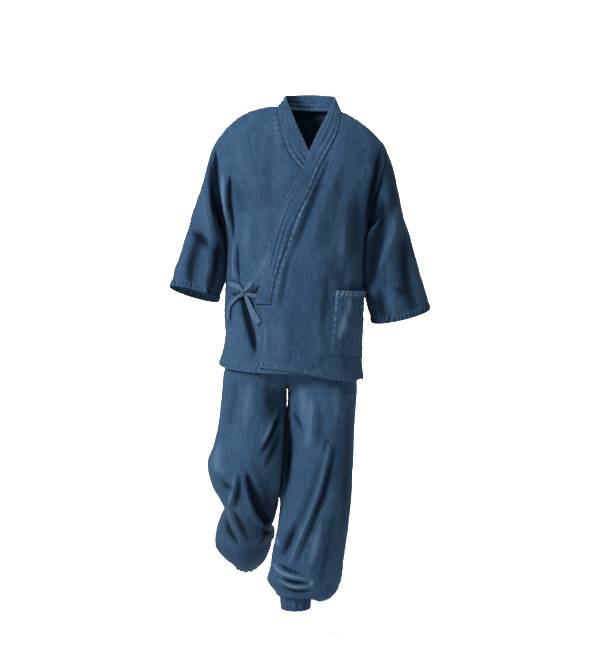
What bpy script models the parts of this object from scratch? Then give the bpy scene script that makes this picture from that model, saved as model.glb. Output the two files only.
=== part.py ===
"""A samue: a wrap jacket with ties, and trousers gathered at waist and ankle.

The set is shown worn, in the middle of a step, with no wearer inside it. It faces -Y, so the
wearer's left is +X. The origin is at the base of the neck, level with the shoulder seams.
Sizes are in metres.
"""

import math

import bmesh
import bpy
import numpy as np

CLOTH = 0.0018          # wall of one layer of denim
BAND = 0.0030           # wall of the folded collar, waistband, cuffs and ties
LAYER = 0.0060          # the outer front stands this far off the under front
TRIM = 0.0005           # each sewn edge is drawn back by this much

NECK_RIGHT = -0.088     # where the shoulder seams end at the neck
NECK_LEFT = 0.094
NECK_DEPTH = 0.064      # how far the neck hole reaches behind the shoulder seams
NECK_DROP = 0.012
ARMPIT = 0.345          # depth of the armhole, down the cloth from the shoulder seam
COLLAR_END = 0.580      # the collar stops this far down the cloth
HEM = 0.775             # jacket length down the cloth
BACK_HEM = 0.765
OUTER_RISE = 0.014      # the outer front's hem rises this much towards its free edge

CROTCH_X = -0.060
CROTCH = 0.36           # share of the outside leg above the crotch
CROTCH_Z = -0.795
RISE_TOP = -0.600       # the legs start to part at this height
WAISTBAND = 0.040
CUFF_HEIGHT = 0.030
CUFF_GATHERS = 16
WAIST_GATHERS = 24

POCKET_TOP = 0.545      # down the cloth from the shoulder
POCKET_HEIGHT = 0.175
POCKET_GAPE = 0.016     # how far the middle of its mouth stands open

DENIM = (.045, .098, .185)       # washed indigo, as linear red, green and blue
DENIM_BAND = (.040, .088, .168)
BAND_PIECES = ("collar", "cuff", "waistband", "tie")


def table(names, *rows):
    """A short table as a dictionary of columns."""
    return dict(zip(names.split(), np.array(rows, float).T))


BODY = table(
    "down z_right  z_mid z_left x_right  x_mid x_left front  back arm_front arm_back round",
    (.000, -.098,  .016, -.094, -.266,  .000,  .214, .000, .000, .000, .000, .00),
    (.030, -.106,  .008, -.102, -.270,  .000,  .218, .034, .027, .023, .020, .10),
    (.080, -.128, -.023, -.126, -.272, -.002,  .219, .072, .061, .047, .042, .30),
    (.140, -.162, -.070, -.162, -.270, -.006,  .212, .101, .089, .061, .056, .50),
    (.220, -.218, -.146, -.217, -.262, -.012,  .196, .121, .112, .064, .060, .75),
    (.300, -.288, -.236, -.284, -.250, -.020,  .176, .131, .121, .042, .040, .92),
    (.345, -.332, -.290, -.328, -.240, -.026,  .165, .134, .121, .000, .000, 1.0),
    (.440, -.412, -.394, -.413, -.232, -.030,  .154, .135, .116, .000, .000, 1.0),
    (.520, -.485, -.481, -.492, -.234, -.036,  .152, .138, .119, .000, .000, 1.0),
    (.600, -.556, -.562, -.576, -.238, -.042,  .152, .143, .130, .000, .000, 1.0),
    (.700, -.648, -.660, -.684, -.237, -.044,  .150, .148, .141, .000, .000, 1.0),
    (.775, -.717, -.732, -.763, -.253, -.046,  .154, .152, .148, .000, .000, 1.0),
)
SHOULDER_FALL = {"right": 4.0, "left": 2.3}

# x for z, where the collar is sewn to each front, and the free edge of each front.
OUTER_SEAM = table(
    "   z      x",
    (-.800, -.103), (-.547, -.102), (-.502, -.096), (-.450, -.083), (-.388, -.062),
    (-.300, -.033), (-.234,  .001), (-.160,  .034), (-.110,  .060), (-.074,  .078),
    (-.030,  .090), ( .001,  .094), ( .040,  .096),
)
OUTER_FREE = table(
    "   z      x",
    (-.800, -.146), (-.534, -.144), (-.473, -.129), (-.418, -.118), (-.373, -.107),
    (-.323, -.089), (-.235, -.057), (-.162, -.014), (-.123,  .000), (-.050,  .034),
    (-.010,  .054), ( .040,  .074),
)
UNDER_SEAM = table(
    "   z      x",
    (-.800,  .104), (-.544,  .104), (-.467,  .092), (-.410,  .080), (-.348,  .064),
    (-.279,  .045), (-.217,  .018), (-.165, -.018), (-.125, -.052), (-.074, -.071),
    (-.030, -.081), ( .017, -.088), ( .040, -.092),
)
UNDER_FREE = table(
    "   z      x",
    (-.800,  .136), (-.544,  .136), (-.460,  .126), (-.400,  .114), (-.330,  .099),
    (-.255,  .080), (-.194,  .056), (-.150,  .028), (-.117,  .002), (-.080, -.014),
    (-.040, -.033), (-.003, -.047), ( .040, -.063),
)

POCKET_EDGE = table(
    "   z      x",
    (-.800,  .053), (-.685,  .058), (-.507,  .0715), (-.400,  .074),
)

# The collar's free edge where it stands round the neck, over a place on the back's top edge.
NECK = table(
    "    c   top_x  top_y top_z",
    (-.331, -.064, -.010,  .042),
    (-.240, -.052,  .036,  .046),
    ( .010,  .003,  .068,  .050),
    ( .330,  .060,  .036,  .045),
    ( .440,  .079, -.010,  .040),
)

# Each sleeve from the armhole: its top and under edges seen from the front, and its depth.
SLEEVE_LEFT = table(
    "along x_out  z_out   x_in   z_in  front   back  tilt",
    (0.10,  .233, -.137,  .179, -.347, .071, .066, .000),
    (0.25,  .249, -.190,  .170, -.374, .079, .073, .000),
    (0.45,  .264, -.268,  .161, -.414, .080, .074, .000),
    (0.70,  .300, -.392,  .157, -.490, .073, .069, -.006),
    (1.00,  .348, -.559,  .182, -.598, .060, .056, -.012),
)
SLEEVE_RIGHT = table(
    "along x_out  z_out   x_in   z_in  front   back  tilt",
    (0.10, -.281, -.138, -.252, -.350, .073, .069, .000),
    (0.25, -.294, -.184, -.247, -.376, .079, .074, .000),
    (0.45, -.317, -.258, -.239, -.414, .079, .075, .006),
    (0.70, -.354, -.378, -.2395, -.466, .073, .071, .012),
    (1.00, -.394, -.499, -.256, -.538, .069, .069, .017),
)

PELVIS = table(
    "   z   x_mid half_x front  back",
    (-.440, -.036, .150, .106, .100),
    (-.500, -.038, .160, .115, .106),
    (-.580, -.041, .168, .122, .114),
    (-.660, -.043, .177, .128, .122),
    (-.700, -.046, .181, .130, .125),
    (-.750, -.052, .190, .132, .129),
    (-.810, -.054, .192, .130, .128),
)
LEG_LEFT = table(
    "along    z      x      y  half_x half_y tilt",
    (0.00, -.440,  .040,  .000, .0985, .115,  0),
    (0.36, -.795,  .040, -.006, .0985, .118,  0),
    (0.44, -.880,  .036, -.014, .0965, .110,  0),
    (0.54, -1.00,  .0285, -.022, .099, .102,  0),
    (0.64, -1.10,  .0215, -.030, .101, .101,  0),
    (0.74, -1.20,  .0100, -.036, .101, .101,  0),
    (0.83, -1.28, -.0030, -.042, .103, .099,  0),
    (0.89, -1.335, -.0090, -.046, .101, .096, 0),
    (0.925, -1.368, -.0100, -.048, .087, .085, 0),
    (0.955, -1.387, -.0170, -.048, .070, .070, 0),
    (0.98, -1.387, -.0310, -.048, .056, .057, 0),
    (1.00, -1.384, -.0360, -.048, .044, .046, 0),
)
LEG_RIGHT = table(
    "along    z      x      y  half_x half_y tilt",
    (0.00, -.440, -.152,  .000, .092, .115,  0),
    (0.36, -.795, -.152, -.010, .092, .118,  0),
    (0.44, -.870, -.1565, -.030, .096, .110,  0),
    (0.52, -.945, -.1670, -.050, .100, .106,  4),
    (0.57, -.992, -.1770, -.056, .1065, .106, 10),
    (0.63, -1.046, -.1755, -.036, .100, .106, 20),
    (0.71, -1.130, -.164,  .030, .076, .100, 34),
    (0.79, -1.200, -.183,  .098, .075, .092, 42),
    (0.87, -1.258, -.190,  .156, .083, .088, 44),
    (0.93, -1.299, -.188,  .198, .068, .072, 42),
    (0.975, -1.318, -.186,  .217, .052, .055, 40),
    (1.00, -1.316, -.184,  .220, .044, .046, 39),
)
# The bow, at the wearer's right: the middle line of each strip as x and z, how far it stands
# off the jacket, and its width.
TIE_SIDE = table(
    "   x      z    off  width",
    (-.2130, -.4880, .0023, .0130), (-.2050, -.4895, .0035, .0130),
    (-.1930, -.4940, .0060, .0120), (-.1789, -.5052, .0148, .0070),
)
TIE_FRONT = table(
    "   x      z    off  width",
    (-.1400, -.5190, .0088, .0120), (-.1510, -.5160, .0112, .0110),
    (-.1661, -.5120, .0150, .0070),
)
TIE_LOOP = table(
    "   x      z    off  width",
    (-.1680, -.5050, .0208, .0070), (-.1560, -.4930, .0260, .0110),
    (-.1480, -.4830, .0280, .0120), (-.1435, -.4815, .0230, .0120),
    (-.1450, -.4890, .0160, .0120), (-.1540, -.4990, .0130, .0100),
    (-.1660, -.5045, .0132, .0070),
)
TIE_TAIL = table(
    "   x      z    off  width",
    (-.1705, -.5175, .0170, .0090), (-.1650, -.5290, .0150, .0160),
    (-.1540, -.5570, .0130, .0190), (-.1340, -.5930, .0110, .0170),
)
TIE_TAIL_LOW = table(
    "   x      z    off  width",
    (-.1797, -.5140, .0165, .0080), (-.1930, -.5210, .0110, .0110),
    (-.2060, -.5340, .0080, .0120), (-.2160, -.5520, .0080, .0120),
    (-.2180, -.5860, .0090, .0120),
)
KNOT = (-.1730, -.5095, .0150)
KNOT_SIZE = (.0095, .0070, .0088)


def smooth(stations, values, at):
    """A smooth curve through the values, which may be numbers, points or rows of points."""
    at = np.clip(at, stations[0], stations[-1])
    tall = (-1,) + (1,) * (np.ndim(values) - 1)
    step = np.diff(stations).reshape(tall)
    rise = np.diff(values, axis=0) / step
    inside = (rise[:-1] * step[1:] + rise[1:] * step[:-1]) / (step[:-1] + step[1:])
    slope = np.concatenate([rise[:1], inside, rise[-1:]])
    i = np.clip(np.searchsorted(stations, at, side="right") - 1, 0, len(stations) - 2)
    h = step[i]
    u = (at - stations[i]).reshape(h.shape) / h if np.ndim(at) else (at - stations[i]) / h
    return (
        (1 + 2 * u) * (1 - u) ** 2 * values[i]
        + u * (1 - u) ** 2 * h * slope[i]
        + u * u * (3 - 2 * u) * values[i + 1]
        - u * u * (1 - u) * h * slope[i + 1]
    )


def patch(along, across, points):
    """A smooth surface through rows of points."""

    def surface(u, v):
        over = smooth(across, np.eye(len(across)), u)
        down = smooth(along, np.eye(len(along)), v)
        return np.einsum("ni,nj,ijk->nk", down, over, points)

    return surface


def ease(low, high, at):
    """0 below low, 1 above high, and smooth between."""
    u = np.clip((at - low) / (high - low), 0, 1)
    return u * u * (3 - 2 * u)


def mix(a, b, share):
    return a + (b - a) * share


def stack(x, y, z):
    return np.stack(np.broadcast_arrays(x, y, z), axis=-1)


def spread(low, high, count):
    return np.linspace(low, high, count + 1)


def body(c, down, facing):
    """The jacket's body. c is -1 at the wearer's right edge, 0 in the middle and 1 at the left.

    Past the shoulder seam or a side seam it goes on round to the other panel.
    """
    over = (np.abs(c) > 1) & (down >= ARMPIT)
    facing = np.where(over ^ (down < 0), -facing, facing)
    c = np.where(over, np.sign(c) * (2 - np.abs(c)), np.clip(c, -1, 1))
    down = np.abs(down)
    row = {name: smooth(BODY["down"], BODY[name], down) for name in BODY if name != "down"}
    is_right, is_front = c < 0, facing < 0
    a = np.abs(c)
    k = row["round"]
    across = mix(a, np.sin(a * math.pi / 2), k)
    edge_x = np.where(is_right, row["x_right"], row["x_left"])
    edge_z = np.where(is_right, row["z_right"], row["z_left"])
    fall = np.where(is_right, SHOULDER_FALL["right"], SHOULDER_FALL["left"])
    x = mix(row["x_mid"], edge_x, across)
    z = mix(row["z_mid"], edge_z, a ** mix(fall, 2.0, k))
    arm = np.maximum(np.where(is_front, row["arm_front"], row["arm_back"]), 0)
    deep = np.where(is_front, row["front"], row["back"])
    y = facing * mix(arm, deep, np.cos(a * math.pi / 2) ** 0.9)
    neck = np.where(is_right, NECK_RIGHT / BODY["x_right"][0], NECK_LEFT / BODY["x_left"][0])
    hole = np.clip(1 - (a / neck) ** 2, 0, 1) * (1 - ease(-.03, .16, down)) * ~is_front
    return stack(x, y + NECK_DEPTH * hole, z - NECK_DROP * hole)


def normals(surface, u, v, step=4e-3):
    """Unit normals of a surface, from its slopes along u and v."""
    du = surface(u + step, v) - surface(u - step, v)
    dv = surface(u, v + step) - surface(u, v - step)
    n = np.cross(du, dv)
    return n / np.maximum(np.linalg.norm(n, axis=-1, keepdims=True), 1e-12)


def front_line(line, down):
    """The place across the front where each row crosses a line given as x for z."""
    low, high = np.full(len(down), -0.98), np.full(len(down), 0.98)
    for _ in range(30):
        c = (low + high) / 2
        p = body(c, down, -1)
        past = p[:, 0] > smooth(line["z"], line["x"], p[:, 2])
        low, high = np.where(past, low, c), np.where(past, c, high)
    return (low + high) / 2


def lifted(c, down, lift, more=0.0):
    """A place on the front, moved out from the body by lift, which fades at the sewn edges."""
    out = -normals(lambda a, b: body(a, b, -1), c, down)
    held = ease(.03, .12, down) * ease(0, .15, 1 - np.abs(c))
    return body(c, down, -1) + out * (lift * held + more)[:, None]


def wall(name, surface, rows, thickness, closed=False):
    """A closed solid wall round a surface. rows lists (v, array of u), and a row may have
    twice the points of the row before it."""
    mesh = bmesh.new()
    layers = [[], []]
    for v, u in rows:
        v = np.full(len(u), v)
        middle, push = surface(u, v), normals(surface, u, v) * thickness / 2
        for layer, points in zip(layers, (middle + push, middle - push)):
            layer.append([mesh.verts.new(p) for p in points])
    for layer in layers:
        for upper, lower in zip(layer, layer[1:]):
            join_rows(mesh, upper, lower, closed)
    outer, inner = layers
    for row in (0, -1):
        rim(mesh, outer[row], inner[row], closed)
    if not closed:
        for column in (0, -1):
            rim(mesh, [r[column] for r in outer], [r[column] for r in inner], False)
    return add_object(name, mesh)


def join_rows(mesh, upper, lower, closed):
    """Faces between two rows of points, the lower one as long as the upper or twice as fine."""
    n = len(upper) if closed else len(upper) - 1
    fine = (len(lower) if closed else len(lower) - 1) // n
    for i in range(n):
        a, b = upper[i], upper[(i + 1) % len(upper)]
        if fine == 1:
            c, d = lower[i], lower[(i + 1) % len(lower)]
            faces = [(a, c, d), (a, d, b)]
        else:
            c, m, d = lower[2 * i], lower[2 * i + 1], lower[(2 * i + 2) % len(lower)]
            faces = [(a, c, m), (a, m, b), (b, m, d)]
        for face in faces:
            mesh.faces.new(face)


def rim(mesh, outer, inner, closed):
    n = len(outer)
    for i in range(n if closed else n - 1):
        j = (i + 1) % n
        mesh.faces.new((outer[i], outer[j], inner[j], inner[i]))


def material(name):
    made = bpy.data.materials.new(name)
    made.use_nodes = True
    shader = made.node_tree.nodes["Principled BSDF"]
    colour = DENIM_BAND if name.startswith(BAND_PIECES) else DENIM
    shader.inputs["Base Color"].default_value = (*colour, 1)
    shader.inputs["Roughness"].default_value = 0.88
    shader.inputs["Metallic"].default_value = 0.0
    return made


def add_object(name, mesh):
    bmesh.ops.recalc_face_normals(mesh, faces=mesh.faces)
    if mesh.calc_volume(signed=True) < 0:
        bmesh.ops.reverse_faces(mesh, faces=mesh.faces)
    data = bpy.data.meshes.new(name)
    mesh.to_mesh(data)
    mesh.free()
    data.materials.append(material(name))
    obj = bpy.data.objects.new(name, data)
    bpy.context.scene.collection.objects.link(obj)
    return obj


def jacket_back():
    downs = (TRIM, .02, .05, .09, .14, .20, .26, .31, .345, .40, .47, .54, .61, .68, .73, BACK_HEM)
    edge = 1 - TRIM / 0.2
    rows = [(v, spread(-edge, edge, 20)) for v in downs]
    return wall("jacket_back", lambda u, v: body(u, v, +1), rows, CLOTH)


def front_surface(side, seam, free, lift):
    """One front, from the collar seam, or its free edge below the collar, to the side seam."""
    rise = OUTER_RISE if lift else 0.0

    def surface(u, v):
        inner = np.where(v < COLLAR_END + TRIM, front_line(seam, v), front_line(free, v))
        v = v - rise * (1 - u) ** 2 * ease(.62, HEM, v)
        return lifted(mix(inner, side, u), v, lift)

    return surface


def jacket_front(name, side, seam, free, lift):
    downs = (TRIM, .02, .05, .08, .11, .14, .18, .22, .26, .30, .345, .40, .46, .52)
    downs += (COLLAR_END, COLLAR_END + 2 * TRIM, .64, .70, .74, HEM)
    trim = TRIM / 0.2
    rows = [(v, spread(trim, 1 - trim, 11)) for v in downs]
    return wall(name, front_surface(side, seam, free, lift), rows, CLOTH)


def collar():
    """The collar band. v runs from its hidden end, up the under front, round the neck and down
    the outer front. u is 0 at its seam and 1 at its free edge."""
    downs = [COLLAR_END - .002, .51, .44, .37, .30, .24, .18, .13, .09, .055, .025]
    width = spread(0, 1, 4)
    share = mix(.02, 1, width)

    def on_front(seam, free, lift, down):
        down = np.full(len(width), down)
        return lifted(mix(front_line(seam, down), front_line(free, down), share), down, lift)

    stations = [on_front(UNDER_SEAM, UNDER_FREE, 0, d) for d in downs]
    for c, *top in zip(*NECK.values()):
        seam = body(np.array([c]), np.zeros(1), +1)[0] + (0, 0, BAND / 2 + CLOTH / 2 + TRIM)
        stations.append(mix(seam, np.array(top), share[:, None]))
    stations += [on_front(OUTER_SEAM, OUTER_FREE, LAYER, d) for d in downs[::-1]]
    stations = np.stack(stations)
    length = np.linalg.norm(np.diff(stations[:, 2], axis=0), axis=-1)
    along = np.concatenate([[0], np.cumsum(length)]) / length.sum()
    halves = (along[:-1] + along[1:]) / 2
    vs = np.sort(np.concatenate([along, halves]))
    return wall("collar", patch(along, width, stations), [(v, width) for v in vs], BAND)


def sleeve(name, side, rings):
    """A sleeve, from the armhole to the wrist. u runs once round, from the top by the front."""
    columns = np.arange(-3, 20) / 16
    angle = columns * 2 * math.pi
    front = np.sin(angle) > -1e-9
    down = ARMPIT * np.arccos(np.cos(angle)) / math.pi
    edge = np.full(len(angle), float(side))
    stations = [np.where(front[:, None], body(edge, down, -1), body(edge, down, +1))]
    up, deep = (1 + np.cos(angle)) / 2, np.sin(angle)
    deep = np.sign(deep) * np.abs(deep) ** 0.9
    for along, x_out, z_out, x_in, z_in, fore, back, tilt in zip(*rings.values()):
        y = -np.where(deep > 0, fore, back) * deep
        stations.append(stack(mix(x_in, x_out, up), y, mix(z_in, z_out, up) + tilt * deep))
    along = np.concatenate([[0.0], rings["along"]])
    start = .016 if side < 0 else .011
    vs = (start, .05, .10, .17, .25, .35, .45, .57, .70, .80, .90, 1)
    rows = [(v, spread(0, 1, 28)[:-1]) for v in vs]
    return wall(name, patch(along, columns, np.stack(stations)), rows, CLOTH, closed=True)


def leg_ring(leg, v):
    return {key: smooth(leg["along"], leg[key], v) for key in leg if key != "along"}


def trousers(u, v, side, facing):
    """One quarter of the trousers. u is 0 at the rise or inseam and 1 at the side seam."""
    across = u < 0
    facing = np.where((u > 1) | (across & (v >= CROTCH)), -facing, facing)
    side = np.where(across & (v < CROTCH), -side, side)
    u = np.where(u > 1, 2 - u, np.abs(u))
    left, right = leg_ring(LEG_LEFT, v), leg_ring(LEG_RIGHT, v)
    ring = {key: np.where(side > 0, left[key], right[key]) for key in left}
    angle = (2 * u - 1) * math.pi / 2
    tilt = np.radians(ring["tilt"])
    gather = 1 + .05 * ease(.93, 1, v) * np.cos(angle * CUFF_GATHERS)
    deep = facing * ring["half_y"] * np.cos(angle) * gather
    low = stack(
        ring["x"] + side * ring["half_x"] * np.sin(angle) * gather,
        ring["y"] + deep * np.cos(tilt),
        ring["z"] + deep * np.sin(tilt),
    )
    z = ring["z"]
    hip = {key: smooth(PELVIS["z"][::-1], PELVIS[key][::-1], z) for key in PELVIS if key != "z"}
    turn = u * math.pi / 2
    depth = np.where(facing < 0, hip["front"], hip["back"])
    mid = mix(CROTCH_X, hip["x_mid"], ease(RISE_TOP, PELVIS["z"][0], z))
    reach = hip["x_mid"] + side * hip["half_x"] - mid
    high = stack(mid + reach * np.sin(turn), facing * depth * np.cos(turn), z)
    parted = np.clip((RISE_TOP - z) / (RISE_TOP - CROTCH_Z), 0, 1)
    parted = np.where(v < CROTCH, 1 - np.sqrt(1 - parted**2), 1)
    apart = stack(side * (CLOTH / 2 + TRIM) * parted, 0, 0)
    return mix(high, low, parted[:, None]) + apart


def trouser_panel(name, side, facing):
    vs = (0, .09, .17, .23, .28, .315, .345, CROTCH, .385, .43, .48, .53, .58, .63, .68, .73, .78)
    vs += (.82, .86, .90, .93)
    trim = TRIM / 0.2
    rows = [(v, spread(trim, 1 - trim, 10)) for v in vs]
    rows += [(v, spread(trim, 1 - trim, 20)) for v in (.95, .97, .985, 1)]
    return wall(name, lambda u, v: trousers(u, v, side, facing), rows, CLOTH)


def cuff(name, leg, start):
    """An elastic cuff, gathered all round, from start below the end of the leg."""
    ring = {key: leg[key][-1] for key in leg}
    tilt = math.radians(ring["tilt"])

    def surface(u, v):
        angle = u * 2 * math.pi
        gather = .97 + .05 * np.cos(angle * CUFF_GATHERS) - .08 * v
        deep = ring["half_y"] * np.cos(angle) * gather
        drop = start + CUFF_HEIGHT * v
        return stack(
            ring["x"] + ring["half_x"] * np.sin(angle) * gather,
            ring["y"] + deep * math.cos(tilt) + drop * math.sin(tilt),
            ring["z"] + deep * math.sin(tilt) - drop * math.cos(tilt),
        )

    rows = [(v, spread(0, 1, 64)[:-1]) for v in (.02, .35, .7, 1)]
    return wall(name, surface, rows, BAND, closed=True)


def waistband():
    hip = {key: PELVIS[key][0] for key in PELVIS}

    def surface(u, v):
        angle = u * 2 * math.pi
        gather = 1 + .012 * np.cos(angle * WAIST_GATHERS) - .03 * v
        depth = np.where(np.cos(angle) > 0, hip["front"], hip["back"])
        return stack(
            hip["x_mid"] + hip["half_x"] * np.sin(angle) * gather,
            -depth * np.cos(angle) * gather,
            hip["z"] + 2 * TRIM + WAISTBAND * v,
        )

    rows = [(v, spread(0, 1, 96)[:-1]) for v in (0, .5, 1)]
    return wall("waistband", surface, rows, BAND, closed=True)


def on_jacket(x, z, off):
    """A point over the wearer's side of the front, standing off the jacket."""
    down = -np.asarray(z, float)
    for _ in range(20):
        flat = front_line({"z": np.array([-2.0, 1.0]), "x": np.array([x, x])}, np.array([down]))
        p = body(flat, np.array([down]), -1)[0]
        down = down + (p[2] - z)
    out = -normals(lambda a, b: body(a, b, -1), flat, np.array([down]))[0]
    return p + out * off, out


def strip(name, path, thickness=.0018):
    """A flat tie, from its middle line."""
    middle, out = zip(*[on_jacket(x, z, off) for x, z, off in zip(path["x"], path["z"], path["off"])])
    middle, out = np.array(middle), np.array(out)
    run = np.gradient(middle, axis=0)
    side = np.cross(run, out)
    side /= np.linalg.norm(side, axis=1, keepdims=True)
    half = path["width"][:, None] / 2
    points = np.stack([middle - side * half, middle, middle + side * half], axis=1)
    along = np.arange(len(middle)) / (len(middle) - 1)
    rows = [(v, spread(0, 1, 2)) for v in spread(0, 1, 4 * (len(middle) - 1))]
    return wall(name, patch(along, spread(0, 1, 2), points), rows, thickness)


def knot():
    middle, _ = on_jacket(*KNOT)
    mesh = bmesh.new()
    bmesh.ops.create_icosphere(mesh, subdivisions=2, radius=1)
    for vert in mesh.verts:
        vert.co = [m + s * c for m, s, c in zip(middle, KNOT_SIZE, vert.co)]
    return add_object("tie_knot", mesh)


def pocket():
    """The patch pocket low on the outer front, standing open a little at its top."""

    def surface(u, v):
        c = mix(front_line(POCKET_EDGE, v), 0.885, u)
        share = np.clip((v - POCKET_TOP) / POCKET_HEIGHT, 0, 1)
        gape = POCKET_GAPE * 4 * u * (1 - u) * (1 - share) ** 1.5
        return lifted(c, v, LAYER, .0028 + gape)

    rows = [(v, spread(0, 1, 8)) for v in spread(POCKET_TOP, POCKET_TOP + POCKET_HEIGHT, 6)]
    return wall("pocket", surface, rows, CLOTH)


def main():
    for obj in list(bpy.data.objects):
        bpy.data.objects.remove(obj)
    jacket_back()
    jacket_front("jacket_front_left", 1, OUTER_SEAM, OUTER_FREE, LAYER)
    jacket_front("jacket_front_right", -1, UNDER_SEAM, UNDER_FREE, 0.0)
    collar()
    sleeve("sleeve_left", 1, SLEEVE_LEFT)
    sleeve("sleeve_right", -1, SLEEVE_RIGHT)
    pocket()
    strip("tie_side", TIE_SIDE)
    strip("tie_front", TIE_FRONT)
    strip("tie_loop", TIE_LOOP)
    strip("tie_tail", TIE_TAIL)
    strip("tie_tail_low", TIE_TAIL_LOW)
    knot()
    for side, word in ((1, "left"), (-1, "right")):
        trouser_panel(f"trousers_{word}_front", side, -1)
        trouser_panel(f"trousers_{word}_back", side, +1)
    waistband()
    cuff("cuff_left", LEG_LEFT, .0024)
    cuff("cuff_right", LEG_RIGHT, .0016)


main()
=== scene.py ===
"""The looks of the samue: a cloth shell on each solid's form, with its folds, hems and seams.

Each panel is worked out from the same tables as its solid, on a finer grid, and then moved
along its own normals. The set faces -Y and the wearer's left is +X. Sizes are in metres.
"""

import math
from typing import NamedTuple

import bmesh
import bpy
import numpy as np
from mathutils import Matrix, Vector

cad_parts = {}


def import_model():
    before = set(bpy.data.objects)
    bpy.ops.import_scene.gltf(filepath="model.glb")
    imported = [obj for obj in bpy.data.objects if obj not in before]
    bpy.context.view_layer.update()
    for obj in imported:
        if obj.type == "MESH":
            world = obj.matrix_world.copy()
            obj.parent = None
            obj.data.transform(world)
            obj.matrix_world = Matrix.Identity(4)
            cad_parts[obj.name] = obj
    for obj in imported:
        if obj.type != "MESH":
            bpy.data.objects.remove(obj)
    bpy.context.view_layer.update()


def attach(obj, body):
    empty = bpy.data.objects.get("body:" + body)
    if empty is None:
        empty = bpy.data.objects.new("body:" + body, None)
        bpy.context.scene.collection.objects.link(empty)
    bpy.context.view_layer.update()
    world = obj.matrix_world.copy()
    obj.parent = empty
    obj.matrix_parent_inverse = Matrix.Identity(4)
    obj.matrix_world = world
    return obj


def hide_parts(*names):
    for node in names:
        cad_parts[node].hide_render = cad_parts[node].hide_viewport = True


FLOOR = -1.513          # the ground under the wearer
EYE = (-0.023, -5.0, -0.26)         # the camera, and the place that it looks at
AIM = (-0.023, 0.0, -0.6213)
LENS = 95.7             # in millimetres, for a sensor 36 mm wide

STEP = 0.0038           # spacing of the cloth grids, and near an edge
FINE = 0.0016
HEM_FOLD = 0.017        # width of a turned and stitched hem
HEM_STITCH = 0.0150     # its stitched line, from the edge
FREE_HEM = 0.010        # the narrower hem of a front's free edge
PUCKER = 0.0125         # length of one pucker along a stitched edge
FOLD_REACH = 3.2        # a fold is worked out over this many half widths round its line
CRISP_FOLD = 0.010      # a fold with a greater half width than this gets weaker painted shade and highlight
TONED_FOLD = 0.0050     # a fold this high gets its full painted tone: a ridge paled as far as it goes, partly as wear and partly as painted highlight
WIDE_RIPPLE = (.11, 2.2)            # size of the wide ripples, and how much taller they are
RIPPLE_DEPTH = 0.0022
JACKET_SEED = 11        # the fronts and what lies on them share their ripples

CLOTH = 0.0018          # wall of one layer of denim
BAND = 0.0030           # wall of the folded collar, waistband, cuffs and ties
LAYER = 0.0060          # the outer front stands this far off the under front
TRIM = 0.0005           # each sewn edge is drawn back by this much

NECK_RIGHT = -0.088     # where the shoulder seams end at the neck
NECK_LEFT = 0.094
NECK_DEPTH = 0.064      # how far the neck hole reaches behind the shoulder seams
NECK_DROP = 0.012
NECK_FADE = (-.03, .16)             # the hollow behind the neck fades out between these depths
NECK_LAP = 0.004        # the collar starts this far down the back
BOW = 0.9               # how square the body and the sleeves are across: less is squarer
SHOULDER_HOLD = (.03, .12)          # the outer front lifts off between these depths
SIDE_HOLD = 0.15        # and over this share of the way in from a side seam
ARMPIT = 0.345          # depth of the armhole, down the cloth from the shoulder seam
COLLAR_END = 0.580      # the collar stops this far down the cloth
COLLAR_TURN = 0.61      # along the band, where it turns from the under front to the neck
HEM = 0.775             # jacket length down the cloth
BACK_HEM = 0.765
OUTER_RISE = 0.014      # the outer front's hem rises this much towards its free edge
RISE_START = 0.62       # its rise and its sag start this far down the cloth
SAG_START = 0.60

CROTCH_X = -0.060
CROTCH = 0.36           # share of the outside leg above the crotch
CROTCH_Z = -0.795
RISE_TOP = -0.600       # the legs start to part at this height
WAISTBAND = 0.040
CUFF_HEIGHT = 0.030
CUFF_GATHERS = 16
LEG_GATHER = 0.05       # depth of the waves above a cuff, as a share of its half width
WAIST_GATHERS = 24

POCKET_TOP = 0.539      # down the cloth from the shoulder
POCKET_HEIGHT = 0.180
POCKET_GAPE = 0.016     # how far the middle of its mouth stands open
POCKET_SIDE = 0.885     # its outer edge, as a share of the way to the side seam

# Heights between which cloth is drawn to what it touches, each with a soft start and stop.
UNDER_ARM = (-.525, -.470), (-.335, -.320)
LEGS_TOUCH = (-1.125, -1.085), (-.865, -.835)
FOLD_TAIL = -1.229      # the trailing leg's fold reaches towards the other leg here
CUFF_LIFT = 0.014       # the cloth over the left cuff is drawn up by this much

# deep is the colour of the painted shade in creases, and of dark stitching; dark and light are the
# cloth's own streaks; pale is the colour of wear, of painted highlight and of the thread
INDIGO = {
    "deep": (.0012, .0040, .0100), "dark": (.0080, .0235, .0490),
    "light": (.0290, .0650, .1180), "pale": (.0760, .1280, .1950),
}


class Fabric(NamedTuple):
    """A kind of cloth: its material, the name of a slot for it, which is not used, and the thickness of
    its wall.
    """

    material: bpy.types.Material
    slot: str
    wall: float


def table(names, *rows):
    """A short table as a dictionary of columns."""
    return dict(zip(names.split(), np.array(rows, float).T))


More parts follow.
